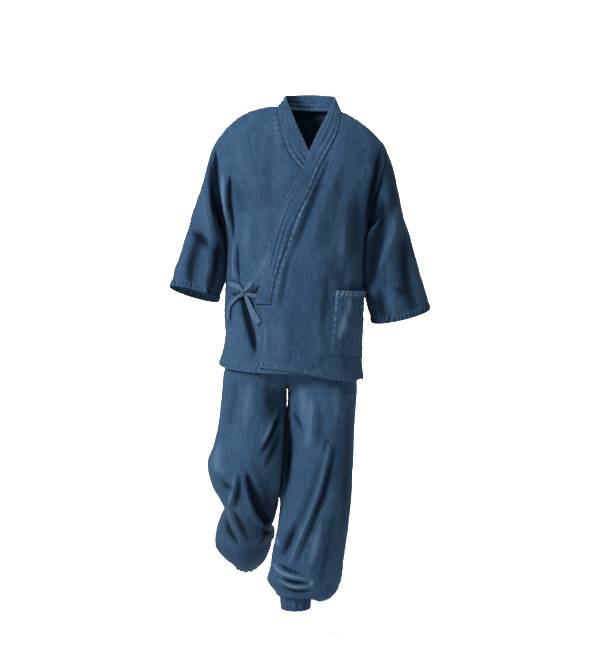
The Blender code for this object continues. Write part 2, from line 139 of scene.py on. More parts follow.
BODY = table(
    "down z_right  z_mid z_left x_right  x_mid x_left front  back arm_front arm_back round",
    (.000, -.098,  .016, -.094, -.266,  .000,  .214, .000, .000, .000, .000, .00),
    (.030, -.106,  .008, -.102, -.270,  .000,  .218, .034, .027, .023, .020, .10),
    (.080, -.128, -.023, -.126, -.272, -.002,  .219, .072, .061, .047, .042, .30),
    (.140, -.162, -.070, -.162, -.270, -.006,  .212, .101, .089, .061, .056, .50),
    (.220, -.218, -.146, -.217, -.262, -.012,  .196, .121, .112, .064, .060, .75),
    (.300, -.288, -.236, -.284, -.250, -.020,  .176, .131, .121, .042, .040, .92),
    (.345, -.332, -.290, -.328, -.240, -.026,  .165, .134, .121, .000, .000, 1.0),
    (.440, -.412, -.394, -.413, -.232, -.030,  .154, .135, .116, .000, .000, 1.0),
    (.520, -.485, -.481, -.492, -.234, -.036,  .152, .138, .119, .000, .000, 1.0),
    (.600, -.556, -.562, -.576, -.238, -.042,  .152, .143, .130, .000, .000, 1.0),
    (.700, -.648, -.660, -.684, -.237, -.044,  .150, .148, .141, .000, .000, 1.0),
    (.775, -.717, -.732, -.763, -.253, -.046,  .154, .152, .148, .000, .000, 1.0),
)
SHOULDER_FALL = {"right": 4.0, "left": 2.3}

# x for z, where the collar is sewn to each front, and the free edge of each front.
OUTER_SEAM = table(
    "   z      x",
    (-.800, -.103), (-.547, -.102), (-.502, -.096), (-.450, -.083), (-.388, -.062),
    (-.300, -.033), (-.234,  .001), (-.160,  .034), (-.110,  .060), (-.074,  .078),
    (-.030,  .090), ( .001,  .094), ( .040,  .096),
)
OUTER_FREE = table(
    "   z      x",
    (-.800, -.146), (-.534, -.144), (-.473, -.129), (-.418, -.118), (-.373, -.107),
    (-.323, -.089), (-.235, -.057), (-.162, -.014), (-.123,  .000), (-.050,  .034),
    (-.010,  .054), ( .040,  .074),
)
UNDER_SEAM = table(
    "   z      x",
    (-.800,  .104), (-.544,  .104), (-.467,  .092), (-.410,  .080), (-.348,  .064),
    (-.279,  .045), (-.217,  .018), (-.165, -.018), (-.125, -.052), (-.074, -.071),
    (-.030, -.081), ( .017, -.088), ( .040, -.092),
)
UNDER_FREE = table(
    "   z      x",
    (-.800,  .136), (-.544,  .136), (-.460,  .126), (-.400,  .114), (-.330,  .099),
    (-.255,  .080), (-.194,  .056), (-.150,  .028), (-.117,  .002), (-.080, -.014),
    (-.040, -.033), (-.003, -.047), ( .040, -.063),
)

POCKET_EDGE = table(
    "   z      x",
    (-.800,  .053), (-.685,  .058), (-.507,  .0715), (-.400,  .074),
)

# The collar's free edge where it stands round the neck, over a place on the back's top edge.
NECK = table(
    "    c   top_x  top_y top_z",
    (-.331, -.064, -.010,  .042),
    (-.240, -.052,  .036,  .046),
    ( .010,  .003,  .068,  .050),
    ( .330,  .060,  .036,  .045),
    ( .440,  .079, -.010,  .040),
)

# Lines that run along the collar. Their places and half widths are shares of its width from
# the seam, and the last column says how much of each is left on the outer front.
COLLAR_LINES = table(
    "at  half   depth  on_outer",
    (.16, .055,  .0012, 1.0), (.30, .050, -.0020, .40), (.42, .060,  .0013, .70),
    (.58, .055, -.0034, .30), (.72, .060,  .0012, .80), (.93, .045,  .0012, 1.0),
)

# Each sleeve from the armhole: its top and under edges seen from the front, and its depth.
SLEEVE_LEFT = table(
    "along x_out  z_out   x_in   z_in  front   back  tilt",
    (0.10,  .233, -.137,  .179, -.347, .071, .066, .000),
    (0.25,  .249, -.190,  .170, -.374, .079, .073, .000),
    (0.45,  .264, -.268,  .161, -.414, .080, .074, .000),
    (0.70,  .300, -.392,  .157, -.490, .073, .069, -.006),
    (1.00,  .348, -.559,  .182, -.598, .060, .056, -.012),
)
SLEEVE_RIGHT = table(
    "along x_out  z_out   x_in   z_in  front   back  tilt",
    (0.10, -.281, -.138, -.252, -.350, .073, .069, .000),
    (0.25, -.294, -.184, -.247, -.376, .079, .074, .000),
    (0.45, -.317, -.258, -.239, -.414, .079, .075, .006),
    (0.70, -.354, -.378, -.2395, -.466, .073, .071, .012),
    (1.00, -.394, -.499, -.256, -.538, .069, .069, .017),
)

PELVIS = table(
    "   z   x_mid half_x front  back",
    (-.440, -.036, .150, .106, .100),
    (-.500, -.038, .160, .115, .106),
    (-.580, -.041, .168, .122, .114),
    (-.660, -.043, .177, .128, .122),
    (-.700, -.046, .181, .130, .125),
    (-.750, -.052, .190, .132, .129),
    (-.810, -.054, .192, .130, .128),
)
LEG_LEFT = table(
    "along    z      x      y  half_x half_y tilt",
    (0.00, -.440,  .040,  .000, .0985, .115,  0),
    (0.36, -.795,  .040, -.006, .0985, .118,  0),
    (0.44, -.880,  .036, -.014, .0965, .110,  0),
    (0.54, -1.00,  .0285, -.022, .099, .102,  0),
    (0.64, -1.10,  .0215, -.030, .101, .101,  0),
    (0.74, -1.20,  .0100, -.036, .101, .101,  0),
    (0.83, -1.28, -.0030, -.042, .103, .099,  0),
    (0.89, -1.335, -.0090, -.046, .101, .096, 0),
    (0.925, -1.368, -.0100, -.048, .087, .085, 0),
    (0.955, -1.387, -.0170, -.048, .070, .070, 0),
    (0.98, -1.387, -.0310, -.048, .056, .057, 0),
    (1.00, -1.384, -.0360, -.048, .044, .046, 0),
)
LEG_RIGHT = table(
    "along    z      x      y  half_x half_y tilt",
    (0.00, -.440, -.152,  .000, .092, .115,  0),
    (0.36, -.795, -.152, -.010, .092, .118,  0),
    (0.44, -.870, -.1565, -.030, .096, .110,  0),
    (0.52, -.945, -.1670, -.050, .100, .106,  4),
    (0.57, -.992, -.1770, -.056, .1065, .106, 10),
    (0.63, -1.046, -.1755, -.036, .100, .106, 20),
    (0.71, -1.130, -.164,  .030, .076, .100, 34),
    (0.79, -1.200, -.183,  .098, .075, .092, 42),
    (0.87, -1.258, -.190,  .156, .083, .088, 44),
    (0.93, -1.299, -.188,  .198, .068, .072, 42),
    (0.975, -1.318, -.186,  .217, .052, .055, 40),
    (1.00, -1.316, -.184,  .220, .044, .046, 39),
)

# How far the outer front's hem sags below its level.
SAG = table(
    "   x   down",
    (-.300, .000), (-.075, .000), (-.030, .004), (.015, .011), (.060, .016), (.095, .018),
    (.130, .016), (.152, .003), (.300, .000),
)

# Where the legs lie against each other.
BETWEEN = table(
    "    z      x",
    (-1.260, -.1000), (-1.200, -.0955), (-1.160, -.0910), (-1.117, -.0855), (-1.050, -.0785),
    (-.900, -.0680), (-.800, -.0640),
)

# The bow, at the wearer's right: the middle line of each strip as x and z, how far it stands
# off the jacket, and its width.
TIE_SIDE = table(
    "   x      z    off  width",
    (-.2240, -.4850, .0020, .0130), (-.2150, -.4870, .0028, .0130), (-.2050, -.4895, .0035, .0130),
    (-.1930, -.4940, .0060, .0120), (-.1789, -.5052, .0148, .0070),
)
TIE_FRONT = table(
    "   x      z    off  width",
    (-.1400, -.5190, .0088, .0120), (-.1510, -.5160, .0112, .0110),
    (-.1661, -.5120, .0150, .0070),
)
TIE_LOOP = table(
    "   x      z    off  width",
    (-.1680, -.5050, .0208, .0070), (-.1560, -.4930, .0260, .0110),
    (-.1480, -.4830, .0280, .0120), (-.1435, -.4815, .0230, .0120),
    (-.1450, -.4890, .0160, .0120), (-.1540, -.4990, .0130, .0100),
    (-.1660, -.5045, .0132, .0070),
)
TIE_TAIL = table(
    "   x      z    off  width",
    (-.1705, -.5175, .0170, .0090), (-.1650, -.5290, .0150, .0160),
    (-.1540, -.5570, .0130, .0190), (-.1340, -.5930, .0110, .0170),
)
TIE_TAIL_LOW = table(
    "   x      z    off  width",
    (-.1797, -.5140, .0165, .0080), (-.1930, -.5210, .0110, .0110),
    (-.2060, -.5340, .0080, .0120), (-.2160, -.5520, .0080, .0120),
    (-.2180, -.5860, .0090, .0120),
)
KNOT = (-.1730, -.5095, .0150)      # x, z and how far it stands off
KNOT_SIZE = (.0095, .0070, .0088)


def folds(*rows):
    """Creases seen from one side: where each is, three places along it, its half width and its
    depth, which is negative for a trough."""
    columns = "where x0 z0 x1 z1 x2 z2 width depth".split()
    return [dict(zip(columns, row)) for row in rows]


JACKET_FOLDS = folds(
    ("raised beside the band, right", -.096, .000, -.087, -.065, -.075, -.145, .0060, .0020),
    ("under it", -.105, -.070, -.105, -.210, -.102, -.370, .0140, -.0030),
    ("turned seam of the band", .030, -.150, -.020, -.285, -.062, -.400, .0045, .0030),
    ("beside it", .060, -.130, .004, -.275, -.048, -.415, .0090, -.0048),
    ("raised, farther out", .085, -.150, .035, -.285, -.022, -.430, .0150, .0030),
    ("turned seam, low", -.062, -.395, -.080, -.475, -.090, -.545, .0040, .0022),
    ("beside it, low", -.048, -.400, -.067, -.475, -.076, -.550, .0060, -.0038),
    ("at the armhole, right", -.262, -.110, -.259, -.220, -.236, -.335, .0065, -.0120),
    ("raised between the slits", -.238, -.170, -.235, -.250, -.224, -.330, .0065, .0060),
    ("slit by the arm", -.220, -.185, -.221, -.260, -.211, -.358, .0045, -.0130),
    ("line below it", -.197, -.372, -.201, -.425, -.193, -.480, .0038, -.0070),
    ("ridge below it", -.206, -.365, -.209, -.425, -.203, -.485, .0040, .0038),
    ("pulled by the knot", -.191, -.495, -.172, -.585, -.149, -.668, .0088, -.0160),
    ("raised left of the pull", -.198, -.530, -.185, -.590, -.166, -.655, .0055, .0035),
    ("raised right of the pull", -.168, -.530, -.151, -.600, -.133, -.655, .0080, .0035),
    ("under the side tie", -.223, -.510, -.200, -.518, -.182, -.522, .0045, -.0060),
    ("above the knot", -.160, -.490, -.130, -.440, -.105, -.385, .0100, .0026),
    ("above the side tie", -.220, -.473, -.200, -.483, -.182, -.493, .0050, -.0040),
    ("at the outer front's edge", -.150, -.580, -.152, -.640, -.150, -.700, .0050, -.0040),
    ("stitched beside that edge", -.116, -.590, -.119, -.640, -.122, -.700, .0032, .0028),
    ("low on the outer front", -.017, -.545, -.010, -.640, -.014, -.735, .0220, -.0045),
    ("low, raised", -.070, -.560, -.076, -.650, -.070, -.725, .0180, .0034),
    ("low, to the left", .025, -.590, .030, -.660, .028, -.740, .0150, .0030),
    ("left of the pocket", .056, -.460, .047, -.540, .043, -.620, .0120, -.0045),
    ("over the pocket", .085, -.400, .090, -.450, .095, -.510, .0150, -.0045),
    ("chest, raised", .110, -.060, .080, -.150, .060, -.230, .0250, .0035),
    ("chest, hollow", .098, -.170, .075, -.290, .050, -.410, .0180, -.0045),
    ("side, hollow", .138, -.230, .130, -.330, .124, -.430, .0150, -.0060),
    ("side, raised", .108, -.250, .100, -.350, .092, -.450, .0120, .0040),
    ("armhole hollow, left", .205, -.100, .183, -.215, .165, -.320, .0080, -.0080),
    ("from the shoulder, right", -.212, -.062, -.173, -.168, -.128, -.265, .0180, .0035),
    ("below it", -.234, -.112, -.195, -.225, -.145, -.340, .0140, -.0034),
    ("chest, right", -.128, -.293, -.145, -.375, -.140, -.460, .0160, -.0030),
    ("chest, right, raised", -.165, -.280, -.172, -.360, -.170, -.440, .0130, .0030),
    ("pocket corner", .060, -.673, .038, -.700, .010, -.723, .0100, -.0030),
    ("in the pocket's mouth", .100, -.525, .112, -.575, .128, -.610, .0080, -.0022),
    ("raised in the pocket", .118, -.520, .105, -.580, .085, -.640, .0080, .0045),
    ("below the pocket", .102, -.685, .108, -.712, .105, -.745, .0090, -.0014),
)
BACK_FOLDS = folds(
    ("from the left shoulder", .190, -.070, .130, -.200, .070, -.330, .018, .0030),
    ("under it", .205, -.120, .150, -.240, .090, -.380, .015, -.0030),
    ("from the right shoulder", -.235, -.070, -.180, -.200, -.120, -.340, .018, .0030),
    ("under it", -.245, -.130, -.195, -.250, -.140, -.390, .015, -.0030),
    ("waist, left", .140, -.440, .080, -.455, .020, -.450, .012, -.0030),
    ("waist, right", -.205, -.455, -.150, -.475, -.080, -.470, .012, -.0030),
    ("waist, raised", .130, -.475, .030, -.490, -.110, -.500, .016, .0025),
    ("skirt, left", .090, -.520, .080, -.640, .085, -.735, .020, -.0035),
    ("skirt, middle", -.030, -.530, -.050, -.630, -.045, -.735, .022, .0030),
    ("skirt, right", -.150, -.530, -.155, -.640, -.165, -.725, .018, -.0030),
    ("armhole, left", .180, -.190, .165, -.310, .150, -.430, .010, -.0045),
    ("armhole, right", -.235, -.200, -.215, -.320, -.200, -.440, .010, -.0045),
)
SLEEVE_FOLDS = folds(
    ("armhole, right", -.266, -.115, -.264, -.230, -.236, -.370, .0095, -.0105),
    ("raised beside it", -.284, -.140, -.288, -.265, -.262, -.405, .0120, .0045),
    ("outer, right", -.302, -.345, -.330, -.425, -.330, -.495, .0120, -.0055),
    ("middle, right", -.272, -.355, -.285, -.455, -.300, -.530, .0110, .0045),
    ("outer, right, raised", -.330, -.330, -.352, -.410, -.365, -.490, .0110, .0040),
    ("elbow, right", -.330, -.340, -.293, -.364, -.250, -.410, .0090, -.0040),
    ("under, right", -.250, -.365, -.260, -.435, -.280, -.530, .0090, -.0050),
    ("armhole, left", .213, -.095, .190, -.200, .170, -.300, .0080, -.0095),
    ("hollow, left", .208, -.250, .192, -.360, .172, -.500, .0160, -.0165),
    ("ridge, left", .250, -.270, .236, -.350, .196, -.450, .0090, .0065),
    ("shoulder, left", .228, -.133, .245, -.223, .253, -.320, .0110, -.0018),
    ("outer, left", .267, -.358, .278, -.462, .293, -.566, .0140, -.0050),
    ("outer ridge, left", .290, -.406, .309, -.490, .326, -.555, .0100, .0040),
    ("low, left", .200, -.500, .205, -.540, .215, -.590, .0100, -.0028),
    ("elbow, left", .214, -.470, .242, -.500, .281, -.515, .0090, -.0022),
    ("middle, left", .231, -.425, .236, -.504, .248, -.583, .0110, .0042),
)
TROUSER_FOLDS = folds(
    ("left leg, long ridge", .063, -.925, .022, -1.085, -.056, -1.280, .0050, .0065),
    ("left leg, outside it", .080, -.930, .038, -1.090, -.038, -1.275, .0090, -.0065),
    ("left leg, inside it", .044, -.955, .004, -1.085, -.070, -1.250, .0100, -.0034),
    ("left leg, hook of the ridge", .042, -.960, .054, -.925, .068, -.945, .0045, -.0030),
    ("left leg, thigh ridge", .012, -.800, .008, -.880, -.004, -.960, .0110, .0034),
    ("left leg, thigh", .032, -.810, .032, -.880, .026, -.950, .0100, -.0034),
    ("left thigh, small", -.042, -.845, -.030, -.870, -.014, -.900, .0050, -.0050),
    ("left leg, inner", -.055, -.860, -.058, -.970, -.068, -1.080, .0080, -.0060),
    ("left leg, side", .118, -.800, .116, -1.000, .096, -1.230, .0180, -.0090),
    ("left leg, low", .070, -1.130, .055, -1.230, .035, -1.335, .0120, -.0045),
    ("left leg, low, raised", .040, -1.110, .022, -1.210, .000, -1.290, .0110, .0036),
    ("left leg, inside low", -.035, -1.150, -.058, -1.210, -.080, -1.260, .0080, -.0045),
    ("left ankle, lower loop", -.084, -1.318, -.040, -1.333, .006, -1.332, .0038, .0055),
    ("left ankle, in the loop", -.074, -1.313, -.040, -1.322, -.002, -1.324, .0036, -.0085),
    ("left ankle, upper loop", -.104, -1.276, -.070, -1.298, .002, -1.315, .0045, .0055),
    ("left ankle, end of the loop", .003, -1.315, .011, -1.323, .005, -1.333, .0036, .0050),
    ("left ankle, over the loop", -.084, -1.275, -.058, -1.288, -.018, -1.300, .0050, -.0055),
    ("left ankle, under the loop", -.080, -1.338, -.035, -1.350, .018, -1.347, .0045, -.0060),
    ("left ankle, to the side", .018, -1.290, .045, -1.325, .058, -1.355, .0120, -.0014),
    ("left hip, near", -.023, -.754, -.014, -.810, -.017, -.888, .0110, .0030),
    ("left hip, far", .078, -.765, .081, -.824, .069, -.910, .0130, .0034),
    ("right knee, ridge", -.200, -1.010, -.211, -1.065, -.226, -1.120, .0050, .0065),
    ("right knee, beside it", -.188, -1.010, -.197, -1.070, -.208, -1.120, .0080, -.0060),
    ("right shin, deep", -.172, -1.005, -.142, -1.115, -.096, -1.200, .0095, -.0150),
    ("right shin, raised", -.186, -1.015, -.158, -1.120, -.118, -1.195, .0055, .0055),
    ("right shin, inner hollow", -.128, -1.020, -.115, -1.085, -.100, -1.140, .0150, -.0065),
    ("right thigh, inner hollow", -.108, -.745, -.094, -.830, -.086, -.900, .0200, -.0075),
    ("crotch, ridge", -.080, -.832, -.104, -.882, -.134, -.942, .0045, .0050),
    ("crotch, lower", -.076, -.855, -.101, -.905, -.130, -.962, .0060, -.0060),
    ("crotch, farther", -.074, -.895, -.098, -.950, -.120, -1.000, .0080, -.0050),
    ("right hip, middle", -.160, -.748, -.168, -.815, -.178, -.899, .0140, .0036),
    ("right hip, far", -.206, -.743, -.210, -.815, -.226, -.899, .0120, -.0036),
    ("right knee, outer", -.241, -.916, -.255, -.983, -.235, -1.044, .0120, .0036),
    ("right knee, under", -.255, -1.011, -.228, -1.050, -.205, -1.050, .0080, -.0050),
    ("right shin, inner", -.213, -1.125, -.193, -1.173, -.171, -1.229, .0070, -.0050),
    ("right shin, outer", -.243, -1.145, -.229, -1.201, -.199, -1.245, .0060, -.0050),
    ("right ankle, gathers", -.129, -1.178, -.123, -1.215, -.140, -1.251, .0050, -.0060),
    ("right ankle, raised", -.104, -1.167, -.101, -1.201, -.112, -1.234, .0050, .0040),
    ("right ankle, tail of the fold", -.112, -1.190, -.085, -1.215, -.075, -1.235, .0060, .0080),
)
TROUSER_BACK_FOLDS = folds(
    ("seat, left", .110, -.640, .050, -.730, -.040, -.790, .016, -.0035),
    ("seat, left, raised", .120, -.680, .055, -.770, -.035, -.820, .014, .0030),
    ("seat, right", -.200, -.640, -.150, -.730, -.085, -.790, .016, -.0035),
    ("seat, right, raised", -.210, -.680, -.155, -.770, -.085, -.825, .014, .0030),
    ("left knee, back", .115, -1.010, .050, -1.035, -.040, -1.020, .010, -.0050),
    ("left knee, back, roll", .115, -1.035, .045, -1.060, -.045, -1.045, .010, .0040),
    ("left calf", .090, -1.100, .050, -1.200, .000, -1.300, .014, .0040),
    ("left calf, inner", .030, -1.100, -.010, -1.200, -.060, -1.290, .012, -.0040),
    ("right knee, back", -.250, -1.000, -.190, -1.020, -.110, -1.010, .010, -.0060),
    ("right knee, back, roll", -.250, -1.030, -.190, -1.048, -.110, -1.038, .010, .0040),
    ("right calf", -.230, -1.090, -.200, -1.170, -.170, -1.250, .012, .0040),
    ("right calf, inner", -.150, -1.080, -.130, -1.150, -.120, -1.220, .010, -.0040),
)


def smooth(stations, values, at):
    """A smooth curve through the values, which may be numbers, points or rows of points."""
    at = np.clip(at, stations[0], stations[-1])
    tall = (-1,) + (1,) * (np.ndim(values) - 1)
    step = np.diff(stations).reshape(tall)
    rise = np.diff(values, axis=0) / step
    inside = (rise[:-1] * step[1:] + rise[1:] * step[:-1]) / (step[:-1] + step[1:])
    slope = np.concatenate([rise[:1], inside, rise[-1:]])
    i = np.clip(np.searchsorted(stations, at, side="right") - 1, 0, len(stations) - 2)
    h = step[i]
    u = np.reshape(at - stations[i], h.shape) / h
    return (
        (1 + 2 * u) * (1 - u) ** 2 * values[i]
        + u * (1 - u) ** 2 * h * slope[i]
        + u * u * (3 - 2 * u) * values[i + 1]
        - u * u * (1 - u) * h * slope[i + 1]
    )


def look_up(rows, key, at):
    """The other columns of a table, where its key column has the values asked for."""
    way = 1 if rows[key][-1] > rows[key][0] else -1
    return {name: smooth(rows[key][::way], rows[name][::way], at) for name in rows if name != key}


def woven(along, across, points, vs, us):
    """A grid of places on the smooth surface through rows of points."""
    down = smooth(along, np.eye(len(along)), vs)
    over = smooth(across, np.eye(len(across)), us)
    return np.einsum("vi,uj,ijk->vuk", down, over, points)


def ease(low, high, at):
    """0 at low, 1 at high, flat beyond them and smooth between."""
    u = np.clip((at - low) / (high - low), 0, 1)
    return u * u * (3 - 2 * u)


def window(low, high, at):
    """1 between two soft ends, each given as the pair of places where it starts and stops."""
    return ease(*low, at) * (1 - ease(*high, at))


def bell(middle, half, at, power=2):
    """1 in the middle, about a third at half to each side of it, and 0 farther out."""
    return np.exp(-((at - middle) / half) ** power)


def mix(a, b, share):
    """The value a share of the way from a to b."""
    return a + (b - a) * share


def stack(x, y, z):
    """Points from their x, y and z, each a number or an array."""
    return np.stack(np.broadcast_arrays(x, y, z), axis=-1)


def spread(low, high, count):
    """The ends of count equal steps from low to high."""
    return np.linspace(low, high, count + 1)


def unit(vectors):
    """The vectors at length 1."""
    return vectors / np.maximum(np.linalg.norm(vectors, axis=-1, keepdims=True), 1e-12)


def turned(out, towards):
    """Normals, all turned over if they point away from where they should."""
    return out if (out * towards).sum() > 0 else -out


def body(c, down, facing):
    """The jacket's body. c is -1 at the wearer's right edge, 0 in the middle and 1 at the left.

    Past the shoulder seam or a side seam it goes on round to the other panel.
    """
    over = (np.abs(c) > 1) & (down >= ARMPIT)
    facing = np.where(over ^ (down < 0), -facing, facing)
    c = np.where(over, np.sign(c) * (2 - np.abs(c)), np.clip(c, -1, 1))
    down = np.abs(down)
    row = look_up(BODY, "down", down)
    is_right, is_front = c < 0, facing < 0
    a = np.abs(c)
    across = mix(a, np.sin(a * math.pi / 2), row["round"])
    edge_x = np.where(is_right, row["x_right"], row["x_left"])
    edge_z = np.where(is_right, row["z_right"], row["z_left"])
    fall = np.where(is_right, SHOULDER_FALL["right"], SHOULDER_FALL["left"])
    x = mix(row["x_mid"], edge_x, across)
    z = mix(row["z_mid"], edge_z, a ** mix(fall, 2.0, row["round"]))
    arm = np.maximum(np.where(is_front, row["arm_front"], row["arm_back"]), 0)
    deep = np.where(is_front, row["front"], row["back"])
    y = facing * mix(arm, deep, np.cos(a * math.pi / 2) ** BOW)
    neck = np.where(is_right, NECK_RIGHT / BODY["x_right"][0], NECK_LEFT / BODY["x_left"][0])
    hole = np.clip(1 - (a / neck) ** 2, 0, 1) * (1 - ease(*NECK_FADE, down)) * ~is_front
    return stack(x, y + NECK_DEPTH * hole, z - NECK_DROP * hole)


def normals(surface, u, v, step=4e-3):
    """Unit normals of a surface, from its slopes along u and v."""
    du = surface(u + step, v) - surface(u - step, v)
    dv = surface(u, v + step) - surface(u, v - step)
    return unit(np.cross(du, dv))


def front_normals(c, down):
    """Unit normals of the front, which point out from the body."""
    return -normals(lambda a, b: body(a, b, -1), c, down)


def front_line(line, down):
    """The place across the front where each row crosses a line given as x for z."""
    low, high = np.full(len(down), -.98), np.full(len(down), .98)
    for _ in range(30):     # each round halves the stretch that holds the crossing
        c = (low + high) / 2
        p = body(c, down, -1)
        past = p[:, 0] > look_up(line, "z", p[:, 2])["x"]
        low, high = np.where(past, low, c), np.where(past, c, high)
    return (low + high) / 2


def lifted(c, down, lift, more=0.0):
    """A place on the front, moved out from the body by lift, which fades at the sewn edges."""
    held = ease(*SHOULDER_HOLD, down) * ease(0, SIDE_HOLD, 1 - np.abs(c))
    return body(c, down, -1) + front_normals(c, down) * (lift * held + more)[:, None]


def graded(low, high, step, fine=(0, 0), size=1.0):
    """Stations from low to high, step apart, and closer near an end that has a fine step. The
    steps are in metres, and size says how many metres there are to 1 of the stations."""
    dense, growth = 14, .35     # how many steps stay fine, and how fast the next ones widen
    ends = [(end, small / size) for end, small in zip((low, high), fine) if small]
    at, stations = low, [low]
    while at < high - 1e-9:
        steps = [s * max(1.0, 1.0 + (abs(at - end) / s - dense) * growth) for end, s in ends]
        at += min(steps + [step / size])
        stations.append(at)
    stations = np.array(stations)
    return low + (stations - low) * (high - low) / (stations[-1] - low)


def lengths(points, axis):
    """Distance along each row or column of a grid from its start."""
    step = np.linalg.norm(np.diff(points, axis=axis), axis=-1)
    first = np.zeros_like(np.take(step, [0], axis=axis))
    return np.concatenate([first, np.cumsum(step, axis=axis)], axis=axis)


def from_middle(points):
    """How far each point of a grid is from the middle of its row."""
    return points - points.mean(axis=1, keepdims=True)


def grid_normals(points, closed=False):
    """Unit normals of a grid that point out from the middle of each row."""
    if closed:
        du = np.roll(points, -1, axis=1) - np.roll(points, 1, axis=1)
    else:
        du = np.gradient(points, axis=1)
    return turned(unit(np.cross(du, np.gradient(points, axis=0))), from_middle(points))


def crease(points, out, rows, facing=-1):
    """How far the folds of one side move each point out, and the tone that they lay on it: painted
    shade in a trough, and on a ridge a paleness that is partly wear and partly painted highlight.
    """
    flat = points[..., [0, 2]]
    total, tone = np.zeros(flat.shape[:-1]), np.zeros(flat.shape[:-1])
    seen = ease(.10, .55, facing * out[..., 1])     # a fold fades where the cloth turns away
    share = spread(0, 1, 24)
    for row in rows:
        ends = np.array([(row[f"x{i}"], row[f"z{i}"]) for i in range(3)])
        line = smooth(np.array([0, .5, 1.0]), ends, share)
        margin = FOLD_REACH * row["width"]
        inside = (flat > line.min(axis=0) - margin) & (flat < line.max(axis=0) + margin)
        inside = inside.all(axis=-1) & (seen > 0)
        spots = flat[inside]
        near, place = np.full(len(spots), np.inf), np.zeros(len(spots))
        for start, step, first in zip(line[:-1], np.diff(line, axis=0), share[:-1]):
            on = np.clip((spots - start) @ step / (step @ step), 0, 1)
            far = np.linalg.norm(spots - start - on[:, None] * step, axis=1)
            place = np.where(far < near, first + on * share[1], place)
            near = np.minimum(near, far)
        swell = np.sin(place * math.pi).clip(0)     # a fold is narrow and shallow at its ends
        width = row["width"] * (.55 + .9 * swell ** .7)
        shape = np.exp(-(near / width) ** 1.7) * (.20 + .80 * swell ** .6)
        total[inside] += row["depth"] * shape
        # painted shade in a trough and a paler ridge, partly wear and partly painted highlight; a wide
        # fold gets less of both
        crisp = min(1, CRISP_FOLD / row["width"]) ** 1.5
        tone[inside] += np.clip(row["depth"] / TONED_FOLD, -2.3, 1) * crisp * shape
    return total * seen, tone * seen


def ripple(points, seed, size, tall=1.9):
    """Soft uneven waves, from -1 to 1, longer up and down than across."""
    random = np.random.default_rng(seed)
    total = np.zeros(points.shape[:-1])
    waves, turn = 9, 6.3
    for _ in range(waves):
        way = random.normal(size=3) * (1, 1, 1 / tall)
        bend = random.normal(size=3)
        wave = points @ way * (2 * math.pi / size) * random.uniform(.6, 1.5)
        warp = 1.4 * np.sin(points @ bend * (3.0 / size) + random.uniform(0, turn))
        total += np.cos(wave + warp + random.uniform(0, turn))
    return total / 6


def sharp(value):
    """Waves made into rounded hollows between crisper ridges."""
    return 1 - 2 * np.abs(np.tanh(value * 1.2)) ** .8


class Panel:
    """A grid of cloth that is moved along its normals before it becomes a closed shell."""

    def __init__(self, points, out, closed=False):
        self.points, self.out, self.closed = points, out, closed
        self.across, self.along = lengths(points, 1), lengths(points, 0)
        self.edges = {
            "low": self.across,
            "high": self.across[:, -1:] - self.across,
            "top": self.along,
            "bottom": self.along[-1:] - self.along,
        }
        shape = points.shape[:2]
        # tone is painted light and shade in the colour: below 0 darkened as painted shade, above 0
        # paled, partly as wear and partly as painted highlight
        self.moved, self.tone = np.zeros(shape), np.zeros(shape)
        self.hem, self.seam = np.ones(shape), np.ones(shape)            # how far off the nearest is
        self.hem_run, self.seam_run = np.zeros(shape), np.zeros(shape)  # how far along it

    def runs_along(self, edge):
        return self.along if edge in ("low", "high") else self.across

    def nearest(self, names, near, run):
        """How far the nearest edge is, and how far along it, where it is closer than before."""
        for name in names:
            far = self.edges[name]
            run = np.where(far < near, self.runs_along(name), run)
            near = np.minimum(near, far)
        return near, run

    def hemmed(self, *names, width=HEM_FOLD, rise=.0011, gather=1.0):
        """A turned hem: one more layer, a stitched line and small slanted puckers."""
        far, run = self.nearest(names, self.hem, self.hem_run)
        self.hem_run = run
        self.hem = far * HEM_FOLD / width
        slant = .3 * self.hem
        wander = 1.6 * np.sin(run * 61) + 1.1 * np.sin(run * 143 + 1)
        pucker = np.cos((run + slant) * (2 * math.pi / PUCKER) + wander)
        pucker *= gather * (.80 + .20 * np.sin(run * 37 + 2)) * bell(.0105, .0085, self.hem)
        self.moved += rise * (1 - ease(.0155, .0190, self.hem))
        self.moved += .0013 * pucker - .0008 * bell(HEM_STITCH, .0020, self.hem)
        # the puckers' crests are paled, partly as wear and partly as painted highlight, and the dips
        # between them darkened as painted shade
        self.tone += .70 * pucker

    def sewn(self, *names, depth=.0016, width=.004):
        """A seam: a groove, with puckers that run into the cloth from it."""
        self.seam, self.seam_run = self.nearest(names, self.seam, self.seam_run)
        self.moved -= depth * bell(0, width, self.seam)
        wander = 1.5 * np.sin(self.seam_run * 47) + np.sin(self.seam_run * 119 + 2)
        pucker = np.cos(self.seam_run * (2 * math.pi / (PUCKER * 1.5)) + wander)
        pucker *= bell(.006, .007, self.seam)
        self.moved += .0006 * pucker
        # the puckers' crests are paled, partly as wear and partly as painted highlight, and the dips
        # between them darkened as painted shade
        self.tone += .25 * pucker

    def folded(self, rows, facing=-1):
        moved, tone = crease(self.points, self.out, rows, facing)
        self.moved += moved * ease(.001, .018, self.seam)      # a seam holds the cloth
        # painted shade in the folds' troughs, and paler ridges, partly wear and partly painted
        # highlight
        self.tone += tone

    def rippled(self, seed, depth=RIPPLE_DEPTH, fine=.0008):
        p = self.points
        held = .35 + .65 * ease(0, .03, np.minimum(self.seam, self.hem))
        wide = ripple(p, seed, *WIDE_RIPPLE)
        crisp = sharp(ripple(p, seed + 50, .10, 2.6)) * (.4 + .6 * ripple(p, seed + 90, .2, 1))
        self.moved += held * (depth * wide + depth * .55 * crisp)
        self.moved += fine * ripple(p, seed + 20, .030, 1.3)

    def surface(self):
        return self.points + self.out * self.moved[..., None]


